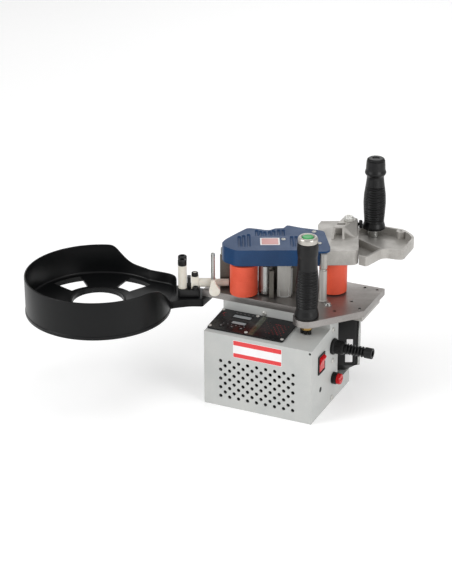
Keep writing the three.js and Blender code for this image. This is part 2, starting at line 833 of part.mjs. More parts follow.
function restBar() {
  const start = -123.2;
  const bore = 2.8;
  return turnedAlongX([start, ...restBarAxis], [
    [bore, 0], [7, 0], [7, 26], [5.8, 28], [5.8, 47], [bore, 47], [bore, 0],
  ]);
}

function restBarBracket() {
  const upright = block([-135.2, 45.5, 158.6], [-123.5, 57.5, 178]);
  const screw = rod([-129.5, 51.5], 4.6, 177, 184, 16);
  return join(upright, screw, lyingRod("x", -125, -77, restBarAxis, 2.4, 12));
}

function bandPin() {
  return rod([-101, 41.2], 3.1, plateTop + gap, 222, 16);
}

// A white nylon clamp in front of the plate's edge: a disc with a tapering neck.
function pinClamp() {
  const u = -98.5;
  const z = 163;
  const radius = 8.8;
  const shape = new THREE.Shape();
  shape.moveTo(u - 5.6, 180.5);
  shape.quadraticCurveTo(u - 5.6, 173, u + radius * Math.cos(2.7), z + radius * Math.sin(2.7));
  shape.absarc(u, z, radius, 2.7, 2 * Math.PI + 0.45, false);
  shape.quadraticCurveTo(u + 1.6, 173, u + 0.8, 180.5);
  shape.closePath();
  return slabAlongY(shape, 25, 32, 5);
}

// ---- tape guide and tray -----------------------------------------------------------------------------
const guideDeck = 158;
const guideTop = 197;
const guidePlaces = { front: [-149, 50.8], rear: [-149, 65.8] };

function guideBase() {
  const shape = outline([[-157, 41, 5], [-121.5, 41, 3], [-121.5, 70, 4], [-154, 70, 4], [-155.5, 54]]);
  const holes = Object.values(guidePlaces).map((place) => rod(place, 3 + gap, 150, 160, 12));
  const stop = block([-141.6, 52, guideDeck - 1], [-136, 62, 175]);
  return cut(join(slab(shape, plateBottom, guideDeck, 4), stop), ...holes);
}

function guideRoller(place) {
  const bore = 3.4;
  const low = guideDeck + gap;
  return turned(place, [[bore, low], [6.7, low], [6.7, guideTop], [bore, guideTop], [bore, low]], 24);
}

function guideBolt(place) {
  const seat = guideTop + gap;
  const head = [[7, seat], [7, seat + 8.4], [5.8, seat + 9.9], [0, seat + 9.9]];
  return turned(place, [[0, 151], [3, 151], [3, seat], ...head], 20);
}

// Plan of the tray: a round pan with a rounded corner on its machine side, where the band leaves.
function trayPlan(inset) {
  const round = rod([0, 0], trayRadius - inset, 0, 300, 44);
  const corner = slab(
    outline([[0, 0], [103 - inset, 24], [103 - inset, 48 - inset / 3], [90 - inset, 107 - inset, 22 - inset],
      [0, 107 - inset]]),
    0, 300, 6,
  );
  return join(round, corner);
}

function trayBand(inset, low, high) {
  const size = 2 * trayRadius;
  return trayPlan(inset).intersect(block([-size, -size, low], [size, size, high]));
}

function floorWindow(middle, halfWidth) {
  const inner = 56;
  const outer = 99;
  const from = THREE.MathUtils.degToRad(middle - halfWidth);
  const to = THREE.MathUtils.degToRad(middle + halfWidth);
  const shape = new THREE.Shape();
  shape.absarc(0, 0, outer, from, to, false);
  shape.absarc(0, 0, inner, to, from, true);
  shape.closePath();
  return slab(shape, trayLow, trayFloor + 1, 6);
}

function tapeTray() {
  const floorSheet = 3;
  const holeRadius = 40;
  const outer = trayBand(0, trayLow, trayRim);
  const inside = trayBand(trayWall, trayFloor, trayRim + 1);
  const under = trayBand(trayWall, trayLow - 1, trayFloor - floorSheet);
  const backDip = slabAlongY(
    outline([[-36, 200], [-28, 195], [-12, 176], [2, 166.5], [20, 164.5], [150, 164.5], [150, 200]]),
    20, 130,
  );
  const exitDip = slabAlongX(
    outline([
      [-30, 200], [-30, 195], [-8, 188], [14, 170], [34, 152], [46, 146], [84, 146], [90, 156], [92, 164.5],
      [130, 164.5], [130, 200],
    ]),
    80, 130,
  );
  const arm = slab(
    outline([[99, 30], [104, 47, 8], [127, 66, 8], [146, 74, 3], [146, 114, 3], [118, 112, 8], [84, 106]]),
    trayLow, trayFloor,
  );
  const collar = turned([0, 0], [
    [holeRadius - 1, trayFloor - floorSheet], [holeRadius + 3.5, trayFloor - floorSheet],
    [holeRadius + 3.5, 152], [holeRadius - 1, 152], [holeRadius - 1, trayFloor - floorSheet],
  ], 32);
  const hole = rod([0, 0], holeRadius, trayLow - 1, 160, 32);
  const windows = [floorWindow(74, 12), floorWindow(148, 19), floorWindow(220, 20), floorWindow(292, 20)];
  const armOutside = arm.subtract(trayBand(trayWall, trayLow - 1, trayFloor - floorSheet));
  const pan = cut(outer, inside, under, backDip, exitDip);
  return cut(join(pan, collar, armOutside), hole, ...windows);
}

// ---- assembly ----------------------------------------------------------------------------------------
add(machine, "case_shell", caseShell(), greyPaint);
add(machine, "case_bottom", caseBottom(), greyPaint);
add(machine, "rocker_bezel", rockerBezel(), blackPlastic);
add(machine, "rocker_switch", rockerSwitch(), redPlastic);
add(machine, "cable_gland", cableGland(), blackPlastic);
add(machine, "cable_boot", cableBoot(), blackRubber);
add(machine, "fuse_holder", fuseHolder(), blackPlastic);
add(machine, "fuse_cap", fuseCap(), redPlastic);
add(machine, "transformer", transformer(), darkMetal);
add(machine, "control_board", controlBoard(), boardGreen);
add(slope, "control_panel", controlPanel(), blackPlastic);
Object.entries(displays).forEach(([name, [x0, y0, x1, y1]]) => {
  add(slope, name, block([x0, y0, gap + 1.5], [x1, y1, gap + panelSheet]), glass);
});
["key_down", "key_up", "key_set"].forEach((name, i) => {
  add(slope, name, rod(keyPlaces[i], keyRadius, 1.5, 4.4, 16), blackRubber);
});

add(machine, "base_plate", basePlate(), castGrey);
add(machine, "gearbox_housing", gearboxHousing(), steel);
add(machine, "front_handle_grip", frontHandleGrip(), blackRubber);
add(machine, "front_handle_cap", frontHandleCap(), steel);
add(machine, "start_button", startButton(), greenPlastic);
add(machine, "handle_tube", handleTube(), steel);
add(machine, "handle_nut", handleNut(), brass);
add(machine, "button_terminals", buttonTerminals(), blackPlastic);
add(machine, "rear_handle_bolt", rearHandleBolt(), steel);
add(machine, "rear_handle_grip", rearHandleGrip(), blackRubber);
add(machine, "rear_handle_cap", rearHandleCap(), blackPlastic);
add(machine, "shoe_plate", shoePlate(), castGrey);

add(head, "motor_body", motorBody(), blackPlastic);
add(head, "left_roller", rollerSleeve(leftRoller), silicone);
add(head, "left_gear_shaft", gearShaft(0, shaftLow), steel);
add(head, "right_roller", rollerSleeve(rightRoller), silicone);
add(head, "right_gear_shaft", gearShaft(4, 138.5), steel);
add(head, "glue_roller", glueRoller(), steel);
add(head, "idler_gear_1", idlerGear(2), steel);
add(head, "idler_gear_2", idlerGear(3), steel);
add(head, "top_casting", topCasting(), castGrey);
add(head, "height_screw", heightScrew(), chrome);
add(head, "lock_knob", lockKnob(), blackPlastic);
add(head, "top_cover", topCover(), bluePaint);
add(head, "front_pillar", frontPillar(), steel);
add(head, "left_support", leftSupport(), castGrey);
add(head, "support_bolt", supportBolt(), blackPlastic);
add(head, "glue_pot", gluePot(), darkMetal);
add(head, "heater_cartridge", heaterCartridge(), steel);
add(head, "cutter_block", cutterBlock(), steel);
add(head, "cutter_blade", cutterBlade(), steel);
add(head, "guide_bar", block([-14, 9.5, plateTop + gap], [-6.8, 16.5, 203.8]), steel);
add(head, "band_wire", bandWire(), chrome);
add(head, "rest_bar", restBar(), nylon);
add(head, "rest_bar_bracket", restBarBracket(), nylon);
add(head, "band_pin", bandPin(), chrome);
add(head, "pin_clamp", pinClamp(), nylon);
add(head, "guide_base", guideBase(), blackPlastic);
Object.entries(guidePlaces).forEach(([side, place]) => {
  add(head, `guide_roller_${side}`, guideRoller(place), nylon);
  add(head, `guide_bolt_${side}`, guideBolt(place), blackPlastic);
});

const tray = add(machine, "tape_tray", tapeTray(), blackPlastic);
tray.position.set(trayCentre[0], trayCentre[1], 0);

export default machine;
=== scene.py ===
import math

import bmesh
import bpy
import numpy as np
from mathutils import Matrix, Vector


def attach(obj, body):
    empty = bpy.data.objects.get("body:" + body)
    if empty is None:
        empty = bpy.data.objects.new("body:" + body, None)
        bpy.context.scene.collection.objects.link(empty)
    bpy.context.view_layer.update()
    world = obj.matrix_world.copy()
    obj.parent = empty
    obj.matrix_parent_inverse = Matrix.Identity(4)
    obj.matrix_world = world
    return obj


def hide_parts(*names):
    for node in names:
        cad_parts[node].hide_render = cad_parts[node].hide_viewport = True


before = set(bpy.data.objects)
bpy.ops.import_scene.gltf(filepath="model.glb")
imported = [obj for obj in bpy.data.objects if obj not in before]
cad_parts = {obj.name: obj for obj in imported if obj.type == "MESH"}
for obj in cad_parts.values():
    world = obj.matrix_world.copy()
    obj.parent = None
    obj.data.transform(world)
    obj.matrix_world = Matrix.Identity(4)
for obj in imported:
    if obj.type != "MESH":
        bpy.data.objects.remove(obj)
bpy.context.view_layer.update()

# Looks for the portable edge banding machine. Lengths below are in millimetres unless a name says otherwise.
mm = 0.001
feedAngle = math.radians(25)  # the feed head is turned on the control box
alongFeed = np.array([math.cos(feedAngle), math.sin(feedAngle), 0.0])
acrossFeed = np.array([-math.sin(feedAngle), math.cos(feedAngle), 0.0])
upwards = np.array([0.0, 0.0, 1.0])


# Feed coordinates to x and y: u along the edge band, v across it towards the panel.
def feed(u, v):
    return tuple(u * alongFeed[:2] + v * acrossFeed[:2])


# camera, lights and floor
camera = {
    "place": (1.04605, -2.45350, 1.39508),
    "right": (0.90821, 0.41853, -0.00333),
    "up": (-0.17161, 0.37962, 0.90910),
    "forward": (-0.38175, 0.82506, -0.41659),
    "lens": 117.04,
}
lights = {
    # name: place, size and power in watts
    "key": ((-1.9, -2.0, 1.5), 1.5, 38),
    "right": ((2.1, -0.9, 0.9), 1.2, 20),
    "top": ((0.1, 0.3, 2.2), 1.8, 7),
    "back": ((-0.6, 2.2, 1.3), 1.4, 6),
}


def makeStage():
    cameraData = bpy.data.cameras.new("camera")
    cameraData.lens = camera["lens"]
    cameraData.sensor_width = 36
    cameraData.clip_end = 60
    cameraObject = bpy.data.objects.new("camera", cameraData)
    turn = Matrix((camera["right"], camera["up"], -Vector(camera["forward"]))).transposed()
    cameraObject.matrix_world = Matrix.Translation(camera["place"]) @ turn.to_4x4()
    bpy.context.scene.collection.objects.link(cameraObject)
    bpy.context.scene.camera = cameraObject
    for name, (place, size, power) in lights.items():
        data = bpy.data.lights.new(name, "AREA")
        data.shape = "DISK"
        data.size = size
        data.energy = power
        lamp = bpy.data.objects.new(name, data)
        lamp.location = place
        lamp.rotation_euler = (Vector((-0.08, 0, 0.12)) - Vector(place)).to_track_quat("-Z", "Y").to_euler()
        bpy.context.scene.collection.objects.link(lamp)
    world = bpy.data.worlds.new("studio")
    world.use_nodes = True
    world.node_tree.nodes["Background"].inputs["Color"].default_value = (1, 1, 1, 1)
    world.node_tree.nodes["Background"].inputs["Strength"].default_value = 0.5
    bpy.context.scene.world = world
    bpy.context.scene.view_settings.view_transform = "Standard"
    half = 14.0
    mesh = bpy.data.meshes.new("floor")
    mesh.from_pydata([(-half, -half, 0), (half, -half, 0), (half, half, 0), (-half, half, 0)], [], [(0, 1, 2, 3)])
    floor = bpy.data.objects.new("floor", mesh)
    bpy.context.scene.collection.objects.link(floor)
    return floor


floor = makeStage()
print("stage ready")


# materials
# sRGB hex to linear, each channel by the sRGB curve.
def linear(hexColour):
    channels = [int(hexColour[i:i + 2], 16) / 255 for i in (1, 3, 5)]
    return (*[c / 12.92 if c <= 0.04045 else ((c + 0.055) / 1.055) ** 2.4 for c in channels], 1.0)


# Adds a node, gives it its settings, and fills its sockets with values or with other nodes' outputs.
def addNode(tree, kind, settings=None, inputs=None):
    made = tree.nodes.new(kind)
    for key, value in (settings or {}).items():
        setattr(made, key, value)
    for key, value in (inputs or {}).items():
        if isinstance(value, bpy.types.NodeSocket):
            tree.links.new(value, made.inputs[key])
        else:
            made.inputs[key].default_value = value
    return made


# A finish in Object coordinates. Two noises mix the colour, one shapes the roughness, and up to two bumps
# (grain and a finer or stretched one) give the relief; sizes of the pattern are in millimetres.
def surface(name, look):
    material = bpy.data.materials.new(name)
    material.use_nodes = True
    tree = material.node_tree
    shader = tree.nodes["Principled BSDF"]
    place = addNode(tree, "ShaderNodeTexCoord").outputs["Object"]
    for key, socket in (("turn", "Rotation"), ("stretch", "Scale")):
        if key in look:
            place = addNode(tree, "ShaderNodeMapping", {}, {"Vector": place, socket: look[key]}).outputs[0]
    shader.inputs["Metallic"].default_value = look.get("metallic", 0.0)
    for socket in ("IOR", "Emission Strength", "Subsurface Weight", "Subsurface Scale", "Specular IOR Level"):
        if socket in look:
            shader.inputs[socket].default_value = look[socket]
    shader.inputs["Emission Color"].default_value = linear(look["colour"])
    if "Subsurface Weight" in look:
        shader.inputs["Subsurface Radius"].default_value = (1.0, 0.8, 0.6)
    patchy = addNode(tree, "ShaderNodeTexNoise", {}, {
        "Vector": place, "Scale": 1 / (look.get("patch", 40) * mm), "Detail": 3.0, "Roughness": 0.55})
    speck = addNode(tree, "ShaderNodeTexNoise", {}, {
        "Vector": place, "Scale": 1 / (look["grain"] * mm), "Detail": 2.0, "Roughness": 0.6})
    spread = addNode(tree, "ShaderNodeMapRange", {}, {
        "Value": patchy.outputs["Fac"], "From Min": 0.3, "From Max": 0.7})
    colour = addNode(tree, "ShaderNodeMix", {"data_type": "RGBA"}, {
        0: spread.outputs["Result"], 6: linear(look["colour"]), 7: linear(look.get("second", look["colour"]))})
    tint = addNode(tree, "ShaderNodeMapRange", {}, {
        "Value": speck.outputs["Fac"], "From Min": 0.25, "From Max": 0.75, "To Min": 0.0,
        "To Max": look.get("fleck", 0.15)})
    shade = addNode(tree, "ShaderNodeMix", {"data_type": "RGBA", "blend_type": "MULTIPLY"}, {
        0: tint.outputs["Result"], 6: colour.outputs[2], 7: linear(look.get("third", "#8a8a8a"))})
    tree.links.new(shade.outputs[2], shader.inputs["Base Color"])
    low, high = look["rough"]
    gloss = addNode(tree, "ShaderNodeMapRange", {}, {
        "Value": patchy.outputs["Fac"], "From Min": 0.3, "From Max": 0.7, "To Min": low, "To Max": high})
    tree.links.new(gloss.outputs["Result"], shader.inputs["Roughness"])
    relief = addNode(tree, "ShaderNodeBump", {}, {
        "Height": speck.outputs["Fac"], "Strength": look.get("relief", 0.2),
        "Distance": look.get("depth", 0.05) * mm})
    if "lines" in look:
        lines = addNode(tree, "ShaderNodeTexWave", {"bands_direction": look.get("across", "Z")}, {
            "Vector": place, "Scale": 1 / (look["lines"] * mm), "Distortion": 1.5, "Detail": 2.0,
            "Detail Scale": 2.0})
        relief = addNode(tree, "ShaderNodeBump", {}, {
            "Height": lines.outputs["Fac"], "Strength": look.get("lineRelief", 0.15), "Distance": 0.02 * mm,
            "Normal": relief.outputs["Normal"]})
    tree.links.new(relief.outputs["Normal"], shader.inputs["Normal"])
    return material


ink = {"grain": 1.0, "fleck": 0.1, "rough": (0.4, 0.5), "relief": 0.05}
vinyl = {"grain": 1.4, "fleck": 0.05, "rough": (0.3, 0.38), "relief": 0.05, "IOR": 1.5}
finishes = {
    # powder coat on bent steel sheet: an even grey with a fine orange-peel skin
    "greyPowderCoat": {"colour": "#bfc0bd", "second": "#b6b8b6", "grain": 1.1, "fleck": 0.10, "rough": (0.42, 0.52),
                       "relief": 0.22, "depth": 0.06, "IOR": 1.5},
    # the same sheet bare and dark inside
    "bareSheet": {"colour": "#77797a", "grain": 1.5, "rough": (0.4, 0.5), "metallic": 0.8},
    # sand-cast aluminium, tumbled and lacquered: pale, matte, with a pebbly skin and soft stains
    "castAluminium": {"colour": "#c2bfba", "second": "#b0ada8", "third": "#7d7973", "grain": 0.9, "patch": 22,
                      "fleck": 0.34, "rough": (0.36, 0.52), "metallic": 0.45, "relief": 0.55, "depth": 0.14},
    # ground aluminium plate: brighter metal with fine grinding lines along the feed, which mirror what stands on it
    "groundPlate": {"colour": "#a5a19e", "second": "#938f8c", "third": "#6e6a67", "grain": 0.8, "patch": 30,
                    "fleck": 0.3, "rough": (0.32, 0.44), "metallic": 0.85, "depth": 0.04,
                    "turn": (0, 0, -feedAngle), "stretch": (0.12, 1, 1)},
    # turned mild steel with a bright zinc coat: satin grey with fine turning lines round it
    "turnedSteel": {"colour": "#b9bab8", "second": "#aaaba9", "grain": 0.9, "fleck": 0.12, "rough": (0.24, 0.34),
                    "metallic": 1.0, "lines": 3.2, "relief": 0.1, "lineRelief": 0.3},
    # zinc-plated pressed screw heads: pale, lightly frosted
    "brightScrew": {"colour": "#d6d5d0", "second": "#c8c7c2", "grain": 0.8, "fleck": 0.1, "rough": (0.28, 0.36),
                    "metallic": 0.55, "relief": 0.08},
    # satin nickel on brass: a soft, slightly warm ring round the button
    "satinNickel": {"colour": "#c0bcb5", "second": "#b5b1aa", "grain": 1.4, "fleck": 0.08, "rough": (0.32, 0.4),
                    "metallic": 0.7, "relief": 0.06},
    # milled steel block: flat satin grey
    "milledSteel": {"colour": "#b9b6b1", "second": "#acaaa5", "grain": 0.8, "fleck": 0.16, "rough": (0.36, 0.46),
                    "metallic": 0.45, "stretch": (1, 1, 0.08)},
    # hot-rolled plate, oxidised: dull brown-grey behind the rollers
    "oxidisedPlate": {"colour": "#77746d", "second": "#66625c", "third": "#55504a", "grain": 1.0, "fleck": 0.3,
                      "rough": (0.4, 0.5), "metallic": 0.8},
    # machined brass: a warm yellow glint under the plate
    "machinedBrass": {"colour": "#c8a468", "second": "#b9924f", "grain": 1.0, "rough": (0.25, 0.38),
                      "metallic": 1.0},
    # cast silicone rubber ground to size: orange-red, dull, faintly chalky
    "redSilicone": {"colour": "#e86144", "second": "#e0583c", "third": "#c4472e", "grain": 0.7, "patch": 18,
                    "fleck": 0.28, "rough": (0.42, 0.55), "relief": 0.3, "IOR": 1.41,
                    "Subsurface Weight": 0.06, "Subsurface Scale": 0.002},
    # baked enamel on a die casting: deep blue with a soft, slightly wavy gloss
    "blueEnamel": {"colour": "#1c4470", "second": "#1a3e67", "third": "#142f50", "grain": 1.6, "patch": 35,
                   "fleck": 0.25, "rough": (0.36, 0.46), "depth": 0.07, "IOR": 1.5,
                   "Specular IOR Level": 0.3},
    # vacuum-formed ABS sheet: black with a satin, finely pebbled skin
    "blackAbs": {"colour": "#0b0c0d", "second": "#0f1011", "third": "#050506", "grain": 1.3, "patch": 60,
                 "fleck": 0.35, "rough": (0.3, 0.38), "relief": 0.35, "depth": 0.07, "IOR": 1.53,
                 "Specular IOR Level": 0.2},
    # moulded plastic: near black with a soft edge light
    "mouldedBlack": {"colour": "#090909", "second": "#0d0d0d", "grain": 0.8, "fleck": 0.2, "rough": (0.32, 0.44),
                     "depth": 0.04, "IOR": 1.5, "Specular IOR Level": 0.3},
    # moulded nitrile rubber: black, soft sheen, dusty in the grooves
    "gripRubber": {"colour": "#0b0b0c", "second": "#080809", "third": "#040404", "grain": 0.7, "patch": 14,
                   "fleck": 0.3, "rough": (0.34, 0.46), "relief": 0.4, "IOR": 1.52,
                   "Specular IOR Level": 0.32},
    # cast nylon: warm white that lets a little light in
    "castNylon": {"colour": "#ece8de", "second": "#e3ded1", "third": "#cdc6b5", "grain": 1.0, "patch": 16,
                  "fleck": 0.18, "rough": (0.36, 0.48), "relief": 0.15, "IOR": 1.53,
                  "Subsurface Weight": 0.15, "Subsurface Scale": 0.003},
    # moulded polycarbonate: clear red with a sharp highlight
    "redPolycarbonate": {"colour": "#c80d18", "second": "#b80b14", "grain": 2.0, "fleck": 0.1, "rough": (0.12, 0.2),
                         "relief": 0.03, "IOR": 1.58, "Specular IOR Level": 0.25},
    # moulded lens: a green face inside the metal ring
    "greenLens": {"colour": "#2f9a50", "second": "#3fae60", "third": "#237f3e", "grain": 1.5, "patch": 6,
                  "fleck": 0.12, "rough": (0.3, 0.38), "relief": 0.05, "IOR": 1.58, "Specular IOR Level": 0.35},
    # satin polyester film over the panel, black
    "panelFilm": {"colour": "#111113", "second": "#151517", "grain": 0.9, "rough": (0.24, 0.32),
                  "relief": 0.06, "depth": 0.03, "IOR": 1.57, "Specular IOR Level": 0.25},
    # smoked film over the indicator band: olive and uneven
    "smokedWindow": {"colour": "#3c4034", "second": "#4a4e3f", "third": "#23261d", "grain": 2.4, "patch": 7,
                     "fleck": 0.5, "rough": (0.16, 0.22), "IOR": 1.57},
    # liquid crystal glass: grey and glossy
    "liquidCrystal": {"colour": "#9ea3a5", "second": "#8d9294", "third": "#6c7072", "grain": 1.2, "fleck": 0.2,
                      "rough": (0.08, 0.14), "relief": 0.02, "IOR": 1.5},
    # screen-printed inks: small flat marks
    "redInk": {"colour": "#c23a3c", **ink},
    "dimInk": {"colour": "#6f4040", **ink},
    "greyInk": {"colour": "#9a9a9c", **ink},
    # printed vinyl labels: even colour with a mild sheen
    "redVinyl": {"colour": "#dd3a3c", "second": "#d63236", **vinyl, "fleck": 0.06},
    "whiteVinyl": {"colour": "#efeeee", "second": "#e8e6e6", **vinyl},
    "pinkVinyl": {"colour": "#d39a97", "second": "#cb8b88", **vinyl, "grain": 1.2, "fleck": 0.08},
    # laminated iron: dark and rough, inside the box
    "darkIron": {"colour": "#2a2a2a", "second": "#333130", "grain": 1.0, "fleck": 0.3, "rough": (0.45, 0.6),
                 "metallic": 0.6, "relief": 0.4},
    # stoved enamel on the motor: black with a pebbly skin
    "motorEnamel": {"colour": "#0a0a0b", "second": "#0e0e0f", "grain": 1.2, "fleck": 0.25, "rough": (0.34, 0.45),
                    "relief": 0.3, "depth": 0.06, "IOR": 1.5, "Specular IOR Level": 0.3},
    # circuit board laminate: green, inside the box
    "boardLaminate": {"colour": "#1f5a38", "second": "#276a43", "grain": 1.0, "fleck": 0.3, "rough": (0.3, 0.4)},
    # blackened steel cap screws: near black, knurled
    "blackBolt": {"colour": "#0d0d0e", "second": "#111112", "grain": 0.8, "fleck": 0.2, "rough": (0.34, 0.44),
                  "IOR": 1.5, "Specular IOR Level": 0.4},
    # painted shade: near black for flat discs that stand in for the shade inside a hole
    "dark": {"colour": "#060606", "grain": 1.0, "rough": (0.6, 0.7)},
    # pale studio floor, lifted a little so that it stays near white
    "paleFloor": {"colour": "#f4f4f4", "grain": 40, "patch": 600, "fleck": 0.01, "rough": (0.7, 0.8), "relief": 0.0,
                  "Emission Strength": 0.3},
}
palette = {name: surface(name, look) for name, look in finishes.items()}
floor.data.materials.append(palette["paleFloor"])
print("materials ready", len(palette))


# making pieces
# Merges a mesh's doubled points and turns its faces outwards.
def tidied(mesh):
    shape = bmesh.new()
    shape.from_mesh(mesh)
    bmesh.ops.remove_doubles(shape, verts=shape.verts, dist=2e-6)
    bmesh.ops.dissolve_degenerate(shape, edges=shape.edges, dist=1e-6)
    bmesh.ops.recalc_face_normals(shape, faces=shape.faces)
    shape.to_mesh(mesh)
    shape.free()
    return mesh


# Puts a finished mesh into the scene: merged, facing out, smooth up to the sharp angle, riding on its body.
def keep(name, mesh, finish, body="root", replaces=(), sharp=35):
    mesh = tidied(mesh)
    mesh.shade_smooth()
    mesh.set_sharp_from_angle(angle=math.radians(sharp))
    mesh.materials.clear()
    mesh.materials.append(palette[finish])
    piece = bpy.data.objects.new(name, mesh)
    bpy.context.scene.collection.objects.link(piece)
    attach(piece, body)
    if replaces:
        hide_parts(*replaces)
    return piece


def meshOf(name, points, faces):
    mesh = bpy.data.meshes.new(name)
    mesh.from_pydata((np.asarray(points, float) * mm).tolist(), [], faces)
    return mesh


# Quads between neighbouring rows of a grid whose columns close on themselves.
def gridFaces(rows, columns, start=0, wrapRows=False):
    top = rows if wrapRows else rows - 1
    row, column = np.meshgrid(np.arange(top), np.arange(columns), indexing="ij")
    below, beside = (row + 1) % rows, (column + 1) % columns
    corners = [row * columns + column, row * columns + beside, below * columns + beside, below * columns + column]
    return (np.stack([c.ravel() for c in corners], axis=-1) + start).tolist()


# Two directions square to the given one.
def basis(direction):
    axis = np.array(direction, float) / np.linalg.norm(direction)
    other = np.array([0.0, 0.0, 1.0]) if abs(axis[2]) < 0.9 else np.array([1.0, 0.0, 0.0])
    first = np.cross(other, axis)
    first /= np.linalg.norm(first)
    return first, np.cross(axis, first), axis


# A line through corners (a, b, radius), open or closed. A corner with a radius is swapped for the curve
# (1-t)^2 start + 2t(1-t) corner + t^2 end, whose start and end lie a radius away from it.
def bend(corners, steps=8, closed=True):
    corners = [tuple(c) + (0,) * (3 - len(c)) for c in corners]
    t = np.linspace(0, 1, steps + 1)[:, None]
    line = []
    for i, (a, b, radius) in enumerate(corners):
        here = np.array([a, b], float)
        if radius <= 0 or (not closed and i in (0, len(corners) - 1)):
            line.append(here[None])
            continue
        before = np.array(corners[i - 1][:2], float) - here
        after = np.array(corners[(i + 1) % len(corners)][:2], float) - here
        start = here + before / np.linalg.norm(before) * radius
        end = here + after / np.linalg.norm(after) * radius
        line.append((1 - t) ** 2 * start + 2 * t * (1 - t) * here + t ** 2 * end)
    return np.concatenate(line)


# A profile of (radius, distance along the axis) turned about it: centre + r cos t, r sin t, h. Flutes take a
# raised cosine of the angle off the wide part, and flats hold the radius inside a hexagon.
def revolved(profile, centre, direction=(0, 0, 1), sides=64, flutes=None, hexFlats=None):
    first, second, axis = basis(direction)
    turn = np.linspace(0, 2 * math.pi, sides, endpoint=False)
    r = profile[:, :1] + 0 * turn
    if flutes:
        count, depth, widest = flutes
        r = r - depth * (r > widest) * (0.5 - 0.5 * np.cos(count * turn))
    if hexFlats:
        r = np.minimum(r, hexFlats / np.cos(np.mod(turn, math.pi / 3) - math.pi / 6))
    circle = np.cos(turn)[:, None] * first + np.sin(turn)[:, None] * second
    points = np.array(centre, float) + r[..., None] * circle + profile[:, 1][:, None, None] * axis
    return points.reshape(-1, 3), gridFaces(len(profile), sides)


# A cornered profile, its corners rounded, turned about an axis into a piece.
def turnedPiece(name, corners, centre, finish, body="root", direction=(0, 0, 1), sides=64, steps=4, flutes=None,
                hexFlats=None, **how):
    points, faces = revolved(bend(corners, steps, False), centre, direction, sides, flutes, hexFlats)
    return keep(name, meshOf(name, points, faces), finish, body, **how)


# A closed line moved inwards: each point shifts along the mean of its two edges' inward normals.
def offsetLine(line, inset):
    forward = np.roll(line, -1, axis=0) - line
    length = np.linalg.norm(forward, axis=1, keepdims=True)
    forward = forward / np.where(length < 1e-9, 1, length)
    normal = np.stack([-forward[:, 1], forward[:, 0]], axis=1)
    if np.sum(line[:, 0] * np.roll(line[:, 1], -1) - line[:, 1] * np.roll(line[:, 0], -1)) < 0:
        normal = -normal
    mean = normal + np.roll(normal, 1, axis=0)
    size = np.sum(mean ** 2, axis=1, keepdims=True)
    return line + inset * 2 * mean / np.where(size < 0.3, 0.3, size)


# Each value swapped for a bell-weighted mean of its neighbours on both sides.
def smoothed(values, reach, mode):
    bell = np.exp(-np.linspace(-2, 2, 2 * reach + 1) ** 2)
    return np.convolve(np.pad(values, reach, mode=mode), bell / bell.sum(), mode="valid")


# A closed outline carried upwards, with its top and bottom edges rounded by quarter circles.
def slab(line, low, high, edge=0.4, steps=3):
    angle = np.linspace(0, math.pi / 2, steps + 1)
    insets = np.concatenate([edge * (1 - np.sin(angle)), edge * (1 - np.cos(angle))])
    heights = np.concatenate([low + edge * (1 - np.cos(angle)), high - edge * (1 - np.sin(angle))])
    rings = [np.column_stack([offsetLine(line, i), np.full(len(line), h)]) for i, h in zip(insets, heights)]
    count, rows = len(line), len(rings)
    faces = gridFaces(rows, count)
    faces.append(list(range(count))[::-1])
    faces.append([(rows - 1) * count + k for k in range(count)])
    return np.concatenate(rings), faces


# Points drawn along three directions from an origin.
def placed(points, origin, first, second, third):
    return np.array(origin, float) + points[:, :1] * first + points[:, 1:2] * second + points[:, 2:3] * third


# A cornered outline carried from low to high on a face given by its origin and three directions.
def slabPiece(name, corners, low, high, finish, body="root", edge=0.4, origin=(0, 0, 0), first=(1, 0, 0),
              second=(0, 1, 0), third=(0, 0, 1), steps=8, **how):
    points, faces = slab(bend(corners, steps), low, high, edge)
    points = placed(points, origin, np.array(first), np.array(second), np.array(third))
    return keep(name, meshOf(name, points, faces), finish, body, **how)


def rectangle(x0, y0, x1, y1, radius=0.0):
    return [(x0, y0, radius), (x1, y0, radius), (x1, y1, radius), (x0, y1, radius)]


# The CAD solid with its triangles merged into flat faces and its edges broken by a rounded bevel.
def refined(node, name, finish, edge, body="root", cutters=(), limit=30, **how):
    shape = bmesh.new()
    shape.from_mesh(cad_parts[node].data)
    bmesh.ops.remove_doubles(shape, verts=shape.verts, dist=3e-6)
    bmesh.ops.dissolve_limit(shape, angle_limit=math.radians(0.6), verts=shape.verts, edges=shape.edges)
    mesh = bpy.data.meshes.new(name)
    shape.to_mesh(mesh)
    shape.free()
    for cutter in cutters:
        mesh = cutAway(mesh, cutter)
    piece = keep(name, mesh, finish, body, replaces=[node], **how)
    if edge:
        bevel = piece.modifiers.new("edges", "BEVEL")
        bevel.width = edge * mm
        bevel.segments = 3
        bevel.limit_method = "ANGLE"
        bevel.angle_limit = math.radians(limit)
        bevel.harden_normals = True
        bevel.use_clamp_overlap = True
    return piece


# The mesh less the cutter mesh.
def cutAway(mesh, cutter):
    whole = bpy.data.objects.new("whole", mesh)
    tool = bpy.data.objects.new("tool", cutter)
    for o in (whole, tool):
        bpy.context.scene.collection.objects.link(o)
    cut = whole.modifiers.new("cut", "BOOLEAN")
    cut.operation = "DIFFERENCE"
    cut.solver = "EXACT"
    cut.object = tool
    done = bpy.data.meshes.new_from_object(whole.evaluated_get(bpy.context.evaluated_depsgraph_get()))
    for o in (whole, tool):
        bpy.data.objects.remove(o)
    return done


# A CAD node that stays as it is gets a better finish.
def dress(node, finish):
    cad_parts[node].material_slots[0].material = palette[finish]


